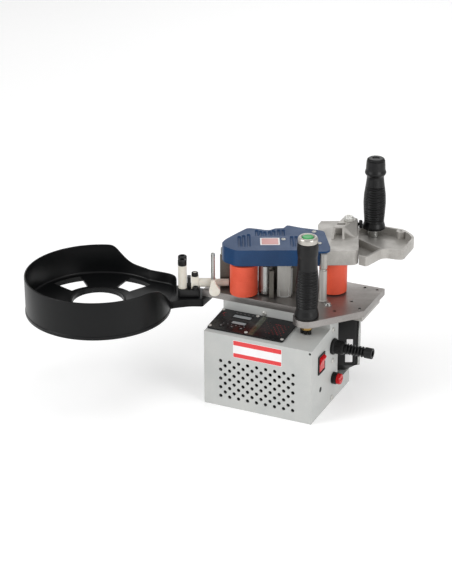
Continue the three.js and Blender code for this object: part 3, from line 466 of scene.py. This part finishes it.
# A domed head: height h(1 - (r/R)^4) less a dip where the driver's recess is, on a polar grid.
def screw(name, place, radius, height, finish, body="root", direction=(0, 0, 1), recess="cross", spin=0.4, **how):
    first, second, axis = basis(direction)
    rings, sides = 14, 48
    share = np.linspace(0, 1, rings)[:, None]
    turn = np.linspace(0, 2 * math.pi, sides, endpoint=False)[None] + spin
    x, y = radius * share * np.cos(turn), radius * share * np.sin(turn)
    dome = height * (1 - 0.55 * share ** 4) + 0 * turn
    if recess == "cross":
        arm, reach = 0.13 * radius, 0.55 * radius
        inside = (np.minimum(abs(x), abs(y)) < arm) & (np.maximum(abs(x), abs(y)) < reach)
    elif recess == "hex":
        sector = np.mod(turn, math.pi / 3) - math.pi / 6
        inside = radius * share * np.cos(sector) < 0.5 * radius
    else:
        inside = (abs(y) < 0.11 * radius) & (share < 2)
    dome = np.where(inside, height * 0.35, dome)
    top = np.stack([x, y, dome], axis=-1).reshape(-1, 3)
    skirt = np.stack([radius * np.cos(turn), radius * np.sin(turn), 0 * turn], axis=-1).reshape(-1, 3)
    points = np.concatenate([top, skirt, [[0, 0, 0]]])
    faces = gridFaces(rings + 1, sides)
    last = len(points) - 1
    faces += [[rings * sides + k, rings * sides + (k + 1) % sides, last] for k in range(sides)]
    points = placed(points, place, first, second, axis)
    return keep(name, meshOf(name, points, faces), finish, body, sharp=30, **how)


print("tools ready")


# Control box
box = {"vent": 2.95, "pitch": 15.15, "firstX": -61.8, "firstZ": 78.4, "edge": 0.9}


# Vent cutters: short 24-sided rods on a staggered grid, five rows of nine with four rows of eight between them.
def ventRods():
    pitch, turn = box["pitch"], np.linspace(0, 2 * math.pi, 24, endpoint=False)
    places = [(column + 0.5 * (row % 2), row / 2) for row in range(9) for column in range(9 - row % 2)]
    places = np.array(places) * pitch * np.array([1, -1]) + np.array([box["firstX"], box["firstZ"]])
    ring = box["vent"] * np.column_stack([np.cos(turn), np.sin(turn)])
    ends = places[:, None, None, :] + ring[None, None]
    ends = np.broadcast_to(ends, (len(places), 2, 24, 2))
    depth = np.broadcast_to(np.array([-82.0, -76.0])[None, :, None], ends.shape[:3])
    points = np.stack([ends[..., 0], depth, ends[..., 1]], axis=-1).reshape(-1, 3)
    faces = []
    for k in range(len(places)):
        start = k * 48
        faces += gridFaces(2, 24, start)
        faces.append(list(range(start, start + 24))[::-1])
        faces.append(list(range(start + 24, start + 48)))
    return meshOf("ventRods", points, faces)


refined("case_shell", "controlBox", "greyPowderCoat", box["edge"], cutters=[tidied(ventRods())])
dress("case_bottom", "bareSheet")
dress("transformer", "darkIron")
dress("control_board", "boardLaminate")

frontFace = {"origin": (0, -80, 0), "first": (1, 0, 0), "second": (0, 0, 1), "third": (0, -1, 0)}
slopeAngle = math.atan2(6, 72)
slopeUp = np.array([0, math.cos(slopeAngle), math.sin(slopeAngle)])
slopeOut = np.array([0, -math.sin(slopeAngle), math.cos(slopeAngle)])
panelFace = {"origin": (0, -80, 124), "first": (1, 0, 0), "second": slopeUp, "third": slopeOut}


def onPanel(x, y, out=2.9):
    return np.array([x, -80.0, 124.0]) + y * slopeUp + out * slopeOut


# a plain two-colour plate on the front: no lettering
label = {"left": -40.6, "right": 40.5, "low": 89.0, "high": 118.0, "band": 8.2, "foot": 7.4}
slabPiece("frontLabel", rectangle(label["left"], label["low"], label["right"], label["high"], 1.5), 0.02, 0.3,
          "whiteVinyl", edge=0.1, **frontFace)
for name, low, high in (("Top", label["high"] - label["band"], label["high"] - 0.6),
                        ("Foot", label["low"] + 0.6, label["low"] + label["foot"])):
    slabPiece("frontLabel" + name, rectangle(label["left"] + 0.6, low, label["right"] - 0.6, high, 1.0), 0.3, 0.4,
              "redVinyl", edge=0.03, **frontFace)
for k, z in enumerate((124, 71, 6.4)):
    screw(f"sideScrew{k}", (90, 5, z), 4.1, 2.3, "brightScrew", direction=(1, 0, 0))
screw("riserScrew", (-19.7, -8, 136), 4.0, 2.2, "brightScrew", direction=(0, -1, 0))
# painted shade: thin near black discs laid on the case where holes are, standing in for the shade inside them
turnedPiece("sideHoleShade", [(0, 0), (4.4, 0), (4.4, 0.15), (0, 0.15)], (90, -43.2, 43.2), "dark", "root", (1, 0, 0),
            sides=32)
turnedPiece("frontHoleShade", [(0, 0), (1.9, 0), (1.9, 0.15), (0, 0.15)], (86.6, -80, 119.6), "dark", "root", (0, -1, 0),
            sides=24)
print("control box made")

# Mains switch, cable entry and fuse on the right side
refined("rocker_bezel", "switchBezel", "mouldedBlack", 0.9)
refined("rocker_switch", "switchRocker", "redPolycarbonate", 0.9, "rocker", limit=25, sharp=50)
gland = {"centre": (82, 5, 96)}
turnedPiece("cableGland", [(0, 0), (10.2, 0, 0.5), (10.2, 8.3), (13, 8.3, 0.4), (13, 12, 0.8), (10.8, 13.2, 0.4),
                           (10.8, 24, 2.0), (9.4, 28, 1.0), (0, 28)], gland["centre"], "mouldedBlack", "root",
            (1, 0, 0), sides=96, flutes=(24, 0.5, 10.5), replaces=["cable_gland"])
boot = {"start": (110.3, 5, 96), "length": 45.5, "neck": 7.2, "radius": 8.6, "collar": 8.5, "ribs": 6,
        "ribStart": 4,
        "ribEnd": 34, "groove": 2.9, "mouth": 5.2}


# The strain relief: a sleeve whose radius dips between its ribs by a raised cosine, ending in a plain collar.
def strainRelief():
    long, first, last = boot["length"], boot["ribStart"], boot["ribEnd"]
    h = np.linspace(0, long, 200)
    neck, wide = boot["neck"], boot["radius"]
    r = np.interp(h, [0, 3, first, 38, long], [neck, neck, wide, wide, boot["collar"]])
    phase = 2 * math.pi * (h - first) / (last - first) * boot["ribs"]
    r = r - boot["groove"] * ((h > first) & (h < last)) * (0.5 - 0.5 * np.cos(phase)) ** 1.5
    inner = np.array([[7.9, long], [boot["mouth"], long - 0.3], [boot["mouth"], last], [0, last]])
    profile = np.concatenate([[[0, 0]], np.column_stack([r, h])[:-1], [[boot["collar"], long - 0.6]], inner])
    points, faces = revolved(profile, boot["start"], (1, 0, 0), 64)
    keep("cableBoot", meshOf("cableBoot", points, faces), "gripRubber", replaces=["cable_boot"])


strainRelief()
turnedPiece("fuseHolder", [(0, 0), (7.8, 0, 0.4), (7.8, 10.3), (9.6, 10.3, 0.4), (9.6, 17, 0.6), (8.4, 17.5, 0.2),
                           (6, 17.5, 0.2), (6, 12), (0, 12)], (80, 8, 40), "mouldedBlack", "root", (1, 0, 0),
            replaces=["fuse_holder"])
refined("fuse_cap", "fuseCap", "redPolycarbonate", 0.5, "fuse_cap_body", sharp=40)
print("side fittings made")

# Sloped control panel
panel = {"band": (-21, -12), "low": 8.5, "high": 70}
refined("control_panel", "controlPanel", "panelFilm", 0.6)
slabPiece("panelBand", rectangle(panel["band"][0], panel["low"] + 1.5, panel["band"][1], panel["high"] - 1.5, 1.0),
          2.9, 3.0, "smokedWindow", edge=0.04, **panelFace)
displayPlaces = {"temp_display": (-64.5, 50, -34, 59.5), "speed_display": (-59, 31.5, -35, 40)}
for node, (x0, y0, x1, y1) in displayPlaces.items():
    name = node.split("_")[0] + "Window"
    slabPiece(name, rectangle(x0 + 0.1, y0 + 0.1, x1 - 0.1, y1 - 0.1, 0.6), 1.6, 2.6, "liquidCrystal", edge=0.2,
              replaces=[node], **panelFace)
    for side, strip in enumerate(((x0 - 1.1, y0 - 1.1, x1 + 1.1, y0), (x0 - 1.1, y1, x1 + 1.1, y1 + 1.1),
                                  (x0 - 1.1, y0, x0, y1), (x1, y0, x1 + 1.1, y1))):
        slabPiece(f"{name}Rim{side}", rectangle(*strip), 2.9, 3.5, "mouldedBlack", edge=0.2, **panelFace)
keyPlaces = {"key_down": (-70, 20), "key_up": (-52, 21), "key_set": (-36.5, 21)}
for node, (x, y) in keyPlaces.items():
    turnedPiece(node.replace("_", "") + "Cap", [(0, 1.7), (3.7, 1.7, 0.2), (3.7, 3.3, 0.7), (0, 3.7)],
                onPanel(x, y, 0), "mouldedBlack", node.split("_")[1] + "_key", slopeOut, sides=40,
                replaces=[node])
    slabPiece(node.replace("_", "") + "Mark", [(x - 1.6, y - 1.0), (x + 1.6, y - 1.0), (x, y + 1.5)], 3.62, 3.72,
              "greyInk", node.split("_")[1] + "_key", edge=0.03, **panelFace)
for k, (x, y) in enumerate([(-86, 14), (-25, 14), (35, 14), (-87, 66.6), (-28, 66), (34, 66.6)]):
    screw(f"panelScrew{k}", onPanel(x, y, 2.85), 2.8, 1.3, "brightScrew", direction=slopeOut, spin=0.3 + k)


# Printed rows: flat dashes of uneven length, their lengths from a fixed sine, on rows down the panel.
def printedRows(name, x0, x1, y0, y1, rows, finish, tall=0.9):
    across = np.arange(x0, x1 - 2.2, 3.4)
    x, y = np.meshgrid(across, np.linspace(y1, y0, rows))
    wide = 1.5 + 0.9 * np.sin(x * 2.3 + y * 1.7)
    shown = (np.sin(x * 0.9 + y * 2.1) > -0.2).ravel()
    x, y, wide = x.ravel()[shown], y.ravel()[shown], wide.ravel()[shown]
    corners = np.stack([np.stack([x, y], 1), np.stack([x + wide, y], 1), np.stack([x + wide, y + tall], 1),
                        np.stack([x, y + tall], 1)], axis=1).reshape(-1, 2)
    flat = np.column_stack([corners, np.full(len(corners), 2.93)])
    raised = flat + [0, 0, 0.06]
    points = np.concatenate([flat, raised])
    count, first = len(flat), np.arange(0, len(flat), 4)
    faces = [[i + count, i + count + 1, i + count + 2, i + count + 3] for i in first]
    faces += [[i + 3, i + 2, i + 1, i] for i in first]
    for side in range(4):
        after = (side + 1) % 4
        faces += [[i + side, i + after, i + after + count, i + side + count] for i in first]
    points = placed(points, (0, -80, 124), np.array([1.0, 0, 0]), slopeUp, slopeOut)
    keep(name, meshOf(name, points, faces), finish)


marks = {
    # name: left, right, low, high, rows, finish
    "panelMarks": (8, 33, 24, 52, 7, "redInk"),
    "panelMarksLeft": (-8, 6, 24, 52, 7, "dimInk"),
    "statusMarks": (-83, -74, 50, 58, 3, "redInk"),
    "displayMarks": (-67, -34, 63, 64, 1, "greyInk"),
    "keyMarks": (-73, -33, 27, 27.5, 1, "greyInk"),
}
for name, place in marks.items():
    printedRows(name, *place)
print("panel made")

# Base plate, motor and gearbox
refined("base_plate", "basePlate", "groundPlate", 0.5)
turnedPiece("plateWasher", [(0, 0), (6.5, 0), (6.5, 1.2, 0.3), (0, 1.2)], (74.3, 21.3, 157), "turnedSteel",
            sides=48)
screw("plateScrew", (74.3, 21.3, 158.1), 4.6, 2.6, "turnedSteel")
refined("gearbox_housing", "gearbox", "milledSteel", 0.8)
refined("motor_body", "motorBody", "motorEnamel", 1.2)
motor = {"centre": (88.5, 45.0), "rodAway": 38.6, "low": 44.0, "rod": 89.2}
for k, (du, dv) in enumerate([(1, -1), (1, 1), (-1, 1)]):
    away, rod = motor["rodAway"], motor["rod"]
    place = (*feed(motor["centre"][0] + du * away, motor["centre"][1] + dv * away), motor["low"])
    turnedPiece(f"motorRod{k}", [(0, 0), (2.6, 0, 0.6), (2.6, rod, 0.4), (0, rod)], place, "turnedSteel", sides=28)
motorFace = {"origin": (*feed(0, 5), 0), "first": alongFeed, "second": upwards, "third": -acrossFeed}
for name, place in (("motorLabel", (106, 49, 117.5, 62.5)), ("motorLabelUpper", (107.9, 77, 117.5, 89))):
    slabPiece(name, rectangle(*place, 0.8), 0.02, 0.3, "whiteVinyl", edge=0.1, **motorFace)
print("plate and motor made")

# Handles
frontAxis, rearAxis = (60.7, -31.6, 0), (89, 176, 0)
frontGrip = {"axis": frontAxis, "base": 157.3, "top": 279.3, "bore": 6.0, "rings": 14, "ringZone": (0.14, 0.655),
             "depth": 1.7,
             "stations": [(18.4, 0), (18.4, 0.04), (16.3, 0.11), (16.8, 0.22), (17.9, 0.38), (17.4, 0.52),
                          (15.4, 0.67), (14.9, 0.78), (14.8, 0.81), (15.8, 0.85), (16.3, 0.94), (15.4, 1)]}
rearGrip = {"axis": rearAxis, "base": 229.5, "top": 343.6, "bore": 5.4, "rings": 15, "ringZone": (0.11, 0.635),
            "depth": 1.6,
            "stations": [(18, 0), (18, 0.03), (15.7, 0.1), (16.8, 0.22), (17.8, 0.38), (17.2, 0.5), (15.0, 0.64),
                         (13.5, 0.74), (13.6, 0.775), (17, 0.815), (16.9, 0.83), (15.4, 0.87), (15.1, 0.94),
                         (14.5, 1)]}
# the ribbed band faces this way, starts at this cosine, and has a shallow flute along each edge
gripBand = {"turn": math.radians(67), "start": 0.46, "steep": 9, "flute": 0.42, "fluteDepth": 0.35, "rim": 0.9}


# A moulded grip: a radius that flows through its stations, less shallow rings that show only on a front and a
# back band, between two smooth strips down the sides.
def grip(name, look, node, body="root"):
    share = np.linspace(0, 1, 241)
    radii, shares = np.array(look["stations"]).T
    r = np.interp(share, shares, radii)
    r = smoothed(r, 6, "edge")
    low, high = look["ringZone"]
    inZone = np.clip(np.minimum(share - low, high - share) * 60, 0, 1)
    rings = inZone * (0.5 - 0.5 * np.cos(2 * math.pi * look["rings"] * (share - low) / (high - low))) ** 0.8
    columns = 120
    turn = np.linspace(0, 2 * math.pi, columns, endpoint=False)
    facing = np.abs(np.cos(turn + gripBand["turn"]))
    band = np.clip((facing - gripBand["start"]) * gripBand["steep"], 0, 1)
    flank = np.clip((0.3 - np.abs(facing - gripBand["flute"]) * 4) * 4, 0, 1)
    radius = r[:, None] - look["depth"] * rings[:, None] * band[None]
    radius = radius - gripBand["fluteDepth"] * (inZone[:, None] * flank[None])
    height = np.broadcast_to((look["base"] + share * (look["top"] - look["base"]))[:, None], radius.shape)
    rim = gripBand["rim"]
    ends = [np.full((1, columns), reach) for reach in (look["bore"], r[0] - rim, r[-1] - rim, look["bore"])]
    radius = np.concatenate([*ends[:2], radius, *ends[2:]])
    height = np.concatenate([np.full((2, columns), look["base"]), height, np.full((2, columns), look["top"])])
    height[2] += rim
    height[-3] -= rim
    points = np.stack([look["axis"][0] + radius * np.cos(turn), look["axis"][1] + radius * np.sin(turn), height],
                      axis=-1).reshape(-1, 3)
    keep(name, meshOf(name, points, gridFaces(len(radius), columns, 0, wrapRows=True)), "gripRubber", body,
         replaces=[node], sharp=60)


grip("frontGrip", frontGrip, "front_handle_grip")
grip("rearGrip", rearGrip, "rear_handle_grip", "shoe")
cap = {"radius": 15.2, "low": 279.6, "high": 289.0, "well": 281.7}
turnedPiece("buttonHousing", [(0, cap["low"]), (cap["radius"], cap["low"], 0.5), (cap["radius"], 286.4, 1.2),
                              (13.6, cap["high"], 1.0), (11.2, cap["high"], 0.6), (10.2, 288.2, 0.5),
                              (9.2, 287.6, 0.2), (9.2, cap["well"]), (0, cap["well"])], frontAxis, "satinNickel",
                              sides=72, replaces=["front_handle_cap"])
turnedPiece("startButtonCap", [(0, 284.1), (8.6, 284.1, 0.3), (8.7, 288.4, 1.0), (7.0, 289.4, 0.6),
                               (5.6, 288.9, 0.4),
                               (0, 288.6)], frontAxis, "greenLens", "start_button_body", sides=64,
            replaces=["start_button"])
turnedPiece("handleTube", [(4, 136.2), (5.6, 136.2, 0.3), (5.6, 279, 0.3), (4, 279), (4, 136.2)], frontAxis,
            "turnedSteel", sides=40, replaces=["handle_tube"])
turnedPiece("handleNut", [(5.9, 137), (9.4, 137, 0.4), (10.5, 138, 0.3), (10.5, 145, 0.3), (9.4, 146, 0.4),
                          (5.9, 146), (5.9, 137)], frontAxis, "machinedBrass", sides=96, hexFlats=9.2,
            replaces=["handle_nut"])
turnedPiece("terminalBase", [(0, 131), (3.7, 131), (3.7, 150), (0, 150)], frontAxis, "mouldedBlack", sides=32,
            replaces=["button_terminals"])
for k, (x, y) in enumerate([(54.5, -34.1), (60.7, -36.1), (66.9, -34.1)]):
    turnedPiece(f"terminal{k}", [(0, 129), (2.9, 129, 0.8), (2.9, 135.9, 0.3), (0, 135.9)], (x, y, 0),
                "mouldedBlack", sides=28)
turnedPiece("rearBolt", [(0, 215.3), (9, 215.3, 0.4), (8.4, 229.2, 0.4), (5, 229.2), (5, 297.5, 0.8), (0, 297.5)],
            rearAxis, "turnedSteel", "shoe", sides=56, replaces=["rear_handle_bolt"])
turnedPiece("rearCap", [(0, 343.9), (13.8, 343.9, 0.4), (13.8, 345.5, 0.6), (11.6, 347.2, 0.8), (6, 347.3, 0.4),
                        (5.4, 345.8, 0.3), (0, 345.8)], rearAxis, "mouldedBlack", "shoe", sides=56,
            replaces=["rear_handle_cap"])
print("handles made")

# Feed rollers, gears and glue parts
roller = {"radius": 21.9, "low": 159.0, "high": 209.4, "bore": 14.1, "edge": 0.9}
for name, node, body, (u, v) in (("leftSleeve", "left_roller", "driven_roller", (-52.8, 31)),
                                 ("rightSleeve", "right_roller", "drive_roller", (86.6, 39.6))):
    r, low, high, bore, edge = (roller[k] for k in ("radius", "low", "high", "bore", "edge"))
    turnedPiece(name, [(bore, low), (r, low, edge), (r, high, edge), (bore, high), (bore, low)], (*feed(u, v), 0),
                "redSilicone", body, sides=96, replaces=[node])
for node in ("left_gear_shaft", "right_gear_shaft", "glue_roller", "idler_gear_1", "idler_gear_2"):
    dress(node, "turnedSteel")
refined("glue_pot", "gluePot", "oxidisedPlate", 0.6)
turnedPiece("heaterCartridge", [(0, 160.5), (4, 160.5), (4, 208.4, 0.5), (0, 209)], (*feed(-18, 53.5), 0),
            "turnedSteel", sides=36, replaces=["heater_cartridge"])
refined("cutter_block", "cutterBlock", "milledSteel", 0.7)
refined("cutter_blade", "cutterBlade", "turnedSteel", 0.2, "cutter")
refined("guide_bar", "guideBar", "oxidisedPlate", 0.5, sharp=40)


# Bent wire: a circle carried along a path, in the plane square to it.
def wire(name, path, radius, finish, body, replaces):
    path = np.array(path, float)
    ahead = np.gradient(path, axis=0)
    ahead /= np.linalg.norm(ahead, axis=1, keepdims=True)
    side = np.array([acrossFeed[0], acrossFeed[1], 0.0])
    other = np.cross(ahead, side)
    turn = np.linspace(0, 2 * math.pi, 20, endpoint=False)
    ring = np.cos(turn)[None, :, None] * side + np.sin(turn)[None, :, None] * other[:, None]
    points = (path[:, None] + radius * ring).reshape(-1, 3)
    faces = gridFaces(len(path), 20)
    faces += [list(range(20))[::-1], list(range(len(points) - 20, len(points)))]
    keep(name, meshOf(name, points, faces), finish, body, replaces=replaces)


hoop = bend([(2, 176.6, 0), (2, 161.3, 3), (16, 161.3, 3), (16, 176.6, 0)], 8, False)
hoop = np.concatenate([np.linspace(hoop[0], hoop[1], 6, endpoint=False), hoop[1:-1],
                       np.linspace(hoop[-2], hoop[-1], 7)[1:]])
wire("bandHoop", [(*feed(u, 7), z) for u, z in hoop], 0.8, "turnedSteel", "root", ["band_wire"])
print("feed parts made")

# Casting, cover and pressure shoe
refined("top_casting", "topCasting", "castAluminium", 1.3, limit=35)
cover = {"grooves": [(-59.5, 24.4, 68), (-52.8, 24.4, 72), (-45, 24.4, 76), (22, 23.5, 67), (29, 23.5, 67),
                     (35, 23.5, 67), (-32, 67.5, 93), (-25.7, 67.5, 89), (-19.5, 67.5, 87), (-11.7, 67.5, 88),
                     (-5.4, 67.5, 92), (2.5, 67.5, 94), (9.5, 67.5, 94)],
         "radius": 3.0, "rise": 0.9}


# One groove cutter: a lying rod with round ends, its radius falling as a quarter circle towards each end.
def grooveRod(u, v0, v1):
    r = cover["radius"]
    angle = np.linspace(0.0, math.pi / 2, 6)
    along = np.concatenate([v0 + r * (1 - np.cos(angle)), v1 - r * (1 - np.sin(angle))])
    size = np.concatenate([r * np.sin(angle), r * np.cos(angle)])
    size = np.maximum(size, 0.02)
    turn = np.linspace(0, 2 * math.pi, 24, endpoint=False)
    ring = np.cos(turn)[:, None] * alongFeed + np.sin(turn)[:, None] * upwards
    middle = np.array(feed(u, 0) + (238.5 + cover["rise"],)) + along[:, None] * acrossFeed
    points = (middle[:, None] + size[:, None, None] * ring[None]).reshape(-1, 3)
    faces = gridFaces(len(along), 24)
    faces += [list(range(24))[::-1], list(range(len(points) - 24, len(points)))]
    return tidied(meshOf("groove", points, faces))


refined("top_cover", "topCover", "blueEnamel", 1.1, cutters=[grooveRod(*g) for g in cover["grooves"]],
        limit=35)
coverFace = {"origin": (0, 0, 238.5), "first": alongFeed, "second": acrossFeed, "third": upwards}
slabPiece("coverLabel", rectangle(-27.5, 31.5, 2.9, 59.6, 1.5), 0.02, 0.25, "whiteVinyl", edge=0.08,
          **coverFace)
slabPiece("coverLabelFace", rectangle(-25.2, 33.8, 0.6, 57.3, 1.0), 0.25, 0.32, "pinkVinyl", edge=0.03,
          **coverFace)
for k, (u, v) in enumerate([(9, 53.2), (57.9, 82.7), (64.2, 36.7)]):
    screw(f"coverScrew{k}", (*feed(u, v), 238.45), 3.6, 2.0, "brightScrew", spin=0.2 + k)
turnedPiece("heightScrew", [(0, 241), (4, 241), (4, 250.3), (7.6, 250.3, 0.4), (7.6, 256, 0.8), (6, 258, 0.6),
                            (3.2, 258, 0.2), (3, 256.6, 0.2), (0, 256.6)], (*feed(113.5, 101), 0), "brightScrew",
            "height_screw_body", sides=96, flutes=(24, 0.3, 7.3), replaces=["height_screw"])
turnedPiece("lockKnob", [(0, -7), (2.5, -7), (2.5, 0), (6.2, 0, 0.3), (6.6, 1.5), (6.6, 4, 0.5), (5, 5.4, 0.5),
                         (0, 5.4)], (*feed(130.2, 106), 242), "mouldedBlack", "lock_knob_body", tuple(alongFeed),
            sides=80, flutes=(20, 0.4, 6.3), replaces=["lock_knob"])
slabPiece("wearStrip", [(124.94, 36), (125.34, 36), (131.96, 128), (131.56, 128)], 212, 226, "castAluminium",
          edge=0.05, first=alongFeed, second=acrossFeed, third=upwards)
refined("shoe_plate", "shoePlate", "castAluminium", 1.2, "shoe", limit=35)
print("casting and cover made")

# Pillars, pins and tape guides
turnedPiece("frontPillar", [(0, 157.3), (7.5, 157.3), (7.5, 158.8, 0.3), (6.2, 159.4, 0.2), (6.2, 208, 0.4),
                            (4.4, 208.2), (4.4, 210.7), (0, 210.7)], (*feed(68.6, 2.8), 0), "milledSteel",
                            sides=56, replaces=["front_pillar"])
refined("left_support", "leftSupport", "oxidisedPlate", 0.4)
turnedPiece("supportBolt", [(0, 211), (2.2, 211), (2.2, 222.4, 0.5), (0, 223)], (*feed(-86.6, 60), 0),
            "turnedSteel", sides=24, replaces=["support_bolt"])
turnedPiece("bandPin", [(0, 157.3), (3.1, 157.3), (3.1, 221, 0.8), (0, 222)], (*feed(-101, 41.2), 0), "turnedSteel",
            sides=36, replaces=["band_pin"])
refined("pin_clamp", "pinClamp", "castNylon", 0.8, sharp=45)
turnedPiece("restBar", [(2.8, 0), (7, 0, 0.7), (7, 26), (5.8, 28), (5.8, 47, 0.6), (2.8, 47), (2.8, 0)],
            (*feed(-123.2, 51.5), 166.8), "castNylon", "rest_bar_body", tuple(alongFeed), sides=56,
            replaces=["rest_bar"])
refined("rest_bar_bracket", "restBarBracket", "castNylon", 1.0, sharp=40)
for name, place, radius, (low, shoulder, rim, well) in (
        ("bracketScrew", (-129.5, 51.5), 5.2, (178.1, 184.2, 184.9, 181.5)),
        ("guideBaseScrew", (-128.5, 42.2), 5.0, (157.9, 163.2, 164.0, 160.6))):
    turnedPiece(name, [(0, low), (radius, low, 0.3), (radius, shoulder, 0.9), (3, rim, 0.2), (2.6, well, 0.2),
                       (0, well)], (*feed(*place), 0), "blackBolt", sides=72,
                flutes=(26, 0.25, radius - 0.2))
refined("guide_base", "guideBase", "blackBolt", 0.8)
for side, v in (("front", 50.8), ("rear", 65.8)):
    centre = (*feed(-149, v), 0)
    turnedPiece(f"{side}GuideSleeve", [(3.4, 158.3), (6.7, 158.3, 0.5), (6.7, 197, 0.5), (3.4, 197), (3.4, 158.3)],
                centre, "castNylon", f"{side}_guide_roller", sides=56, replaces=[f"guide_roller_{side}"])
    turnedPiece(f"{side}GuideBolt", [(0, 151), (3, 151), (3, 197.3), (7, 197.3, 0.3), (7, 206.1, 1.1),
                                     (3.8, 207.2, 0.2), (3.4, 203, 0.2), (0, 203)], centre, "blackBolt", sides=72,
                                     flutes=(30, 0.25, 6.7), replaces=[f"guide_bolt_{side}"])
print("guides made")

# Tape tray
tray = {"centre": (-266.0, -94.0), "radius": 114.0, "wall": 3.0, "low": 133.0, "floor": 146.0, "rim": 195.0,
        "under": 143.0, "hole": 40.0, "collar": 43.5, "collarTop": 151.0, "lip": 1.3, "cove": 3.0, "foot": 1.2,
        "step": (138.4, 139.2, 0.7), "softEdge": 0.8,
        "corner": [(0, 0), (103, 24), (103, 48), (90, 107, 22), (0, 107)],
        "windows": [(76, 13), (148, 14), (220, 17), (292, 17)], "windowInner": 60.0, "windowOuter": 101.0}


# The tray's plan: at each angle the larger of the round pan's radius and the squared corner's distance.
def trayReach(turn):
    corner = bend(tray["corner"], 24)
    away = np.hypot(*corner.T)
    corner = corner[away > 50]
    dense = np.concatenate([np.linspace(a, b, 12, endpoint=False) for a, b in zip(corner[:-1], corner[1:])])
    at = np.arctan2(dense[:, 1], dense[:, 0])
    order = np.argsort(at)
    squared = np.interp(turn, at[order], np.hypot(*dense.T)[order], left=0, right=0)
    return np.maximum(squared, tray["radius"])


# The rim's height round the tray: level, dipping along the back, and falling to the floor where the band leaves.
def trayHeight(x, y):
    back = np.interp(x, [-28, -12, 2, 20], [tray["rim"], 176, 166.5, 164.5])
    leave = np.interp(y, [-30, -8, 14, 34, 46, 84, 90, 92], [tray["rim"], 188, 170, 152, 146, 146, 156, 164.5])
    height = np.where(y > 20, back, tray["rim"])
    height = np.where(x > 80, np.minimum(height, leave), height)
    return smoothed(height, 7, "wrap")


# The pan: one closed cross-section, drawn as hole, underside, skirt, wall, rim, floor and collar, is carried round;
# each window drops the floor's and the underside's cells in its sector and joins their rims with walls.
def trayPan():
    turn = np.linspace(-math.pi, math.pi, 360, endpoint=False)
    reach = trayReach(turn)
    rim = trayHeight(reach * np.cos(turn), reach * np.sin(turn))
    wall, floorZ = tray["wall"], tray["floor"]
    near, far = tray["windowInner"], tray["windowOuter"]
    lip = np.clip((rim - floorZ) * 0.4, 0.02, tray["lip"])
    cove = np.clip((rim - floorZ) * 0.4, 0.02, tray["cove"])
    foot, soft = tray["foot"], tray["softEdge"]
    stepLow, stepHigh, stepIn = tray["step"]
    arc = np.linspace(0, math.pi / 2, 6)
    flat = np.ones_like(turn)
    rows = [(tray["hole"] * flat, tray["under"] * flat), (near * flat, tray["under"] * flat),
            (far * flat, tray["under"] * flat), (reach - wall, tray["under"] * flat),
            (reach - wall, tray["low"] * flat)]
    rows += [(reach - foot + foot * math.sin(a), tray["low"] + foot - foot * math.cos(a) + 0 * turn) for a in arc]
    rows += [(reach, stepLow * flat), (reach - stepIn, stepHigh * flat)]
    rows += [(reach - stepIn, stepHigh + (rim - lip - stepHigh) * k) for k in (0.02, 0.25, 0.5, 0.75)]
    rows += [(reach - stepIn - lip * (1 - math.cos(a)), rim - lip * (1 - math.sin(a))) for a in arc]
    rows += [(reach - wall + lip * (1 - math.sin(a)) * 0.9, rim - lip * (1 - math.cos(a))) for a in arc]
    rows += [(reach - wall, rim + (floorZ + cove - rim) * k) for k in (0.3, 0.55, 0.8)]
    rows += [(reach - wall - cove * (1 - math.cos(a)), floorZ + cove * (1 - math.sin(a))) for a in arc]
    farRow = len(rows)
    rows += [(np.minimum(far, reach - wall - cove - 0.5), floorZ * flat), (near * flat, floorZ * flat)]
    top, collar, hole = tray["collarTop"], tray["collar"], tray["hole"]
    inner = [(collar + 2, floorZ), (collar + 0.5, floorZ + 0.5), (collar, floorZ + 2), (collar, top - soft),
             (collar - soft, top), (hole + soft, top), (hole, top - soft)]
    rows += [(away * flat, level * flat) for away, level in inner]
    r, z = np.array([row[0] for row in rows]), np.array([row[1] for row in rows])
    points = np.stack([tray["centre"][0] + r * np.cos(turn), tray["centre"][1] + r * np.sin(turn), z], axis=-1)
    cells = np.array(gridFaces(len(r), 360, 0, wrapRows=True)).reshape(len(r), 360, 4)
    kept = np.ones((len(r), 360), bool)
    walls = []
    for middle, half in tray["windows"]:
        start = 180 + middle - half
        columns = np.arange(start, start + 2 * half) % 360
        kept[1, columns] = kept[farRow, columns] = False
        loop = np.append(columns, (start + 2 * half) % 360)
        for upper, lower in ((farRow, 2), (farRow + 1, 1)):
            walls += np.stack([upper * 360 + loop[:-1], upper * 360 + loop[1:], lower * 360 + loop[1:],
                               lower * 360 + loop[:-1]], axis=1).tolist()
        walls += [[int(row * 360 + c) for row in (farRow, farRow + 1, 1, 2)] for c in (loop[0], loop[-1])]
    return meshOf("tapeTray", points.reshape(-1, 3), cells[kept].tolist() + walls)


keep("tapeTray", trayPan(), "blackAbs", replaces=["tape_tray"], sharp=40)
armLine = [(99, 30), (104, 47, 8), (127, 66, 8), (146, 74, 3), (146, 114, 3), (118, 112, 8), (84, 106)]
slabPiece("trayArm", armLine, 133.2, 145.8, "blackAbs", edge=0.8, origin=(*tray["centre"], 0))
print("tray made")
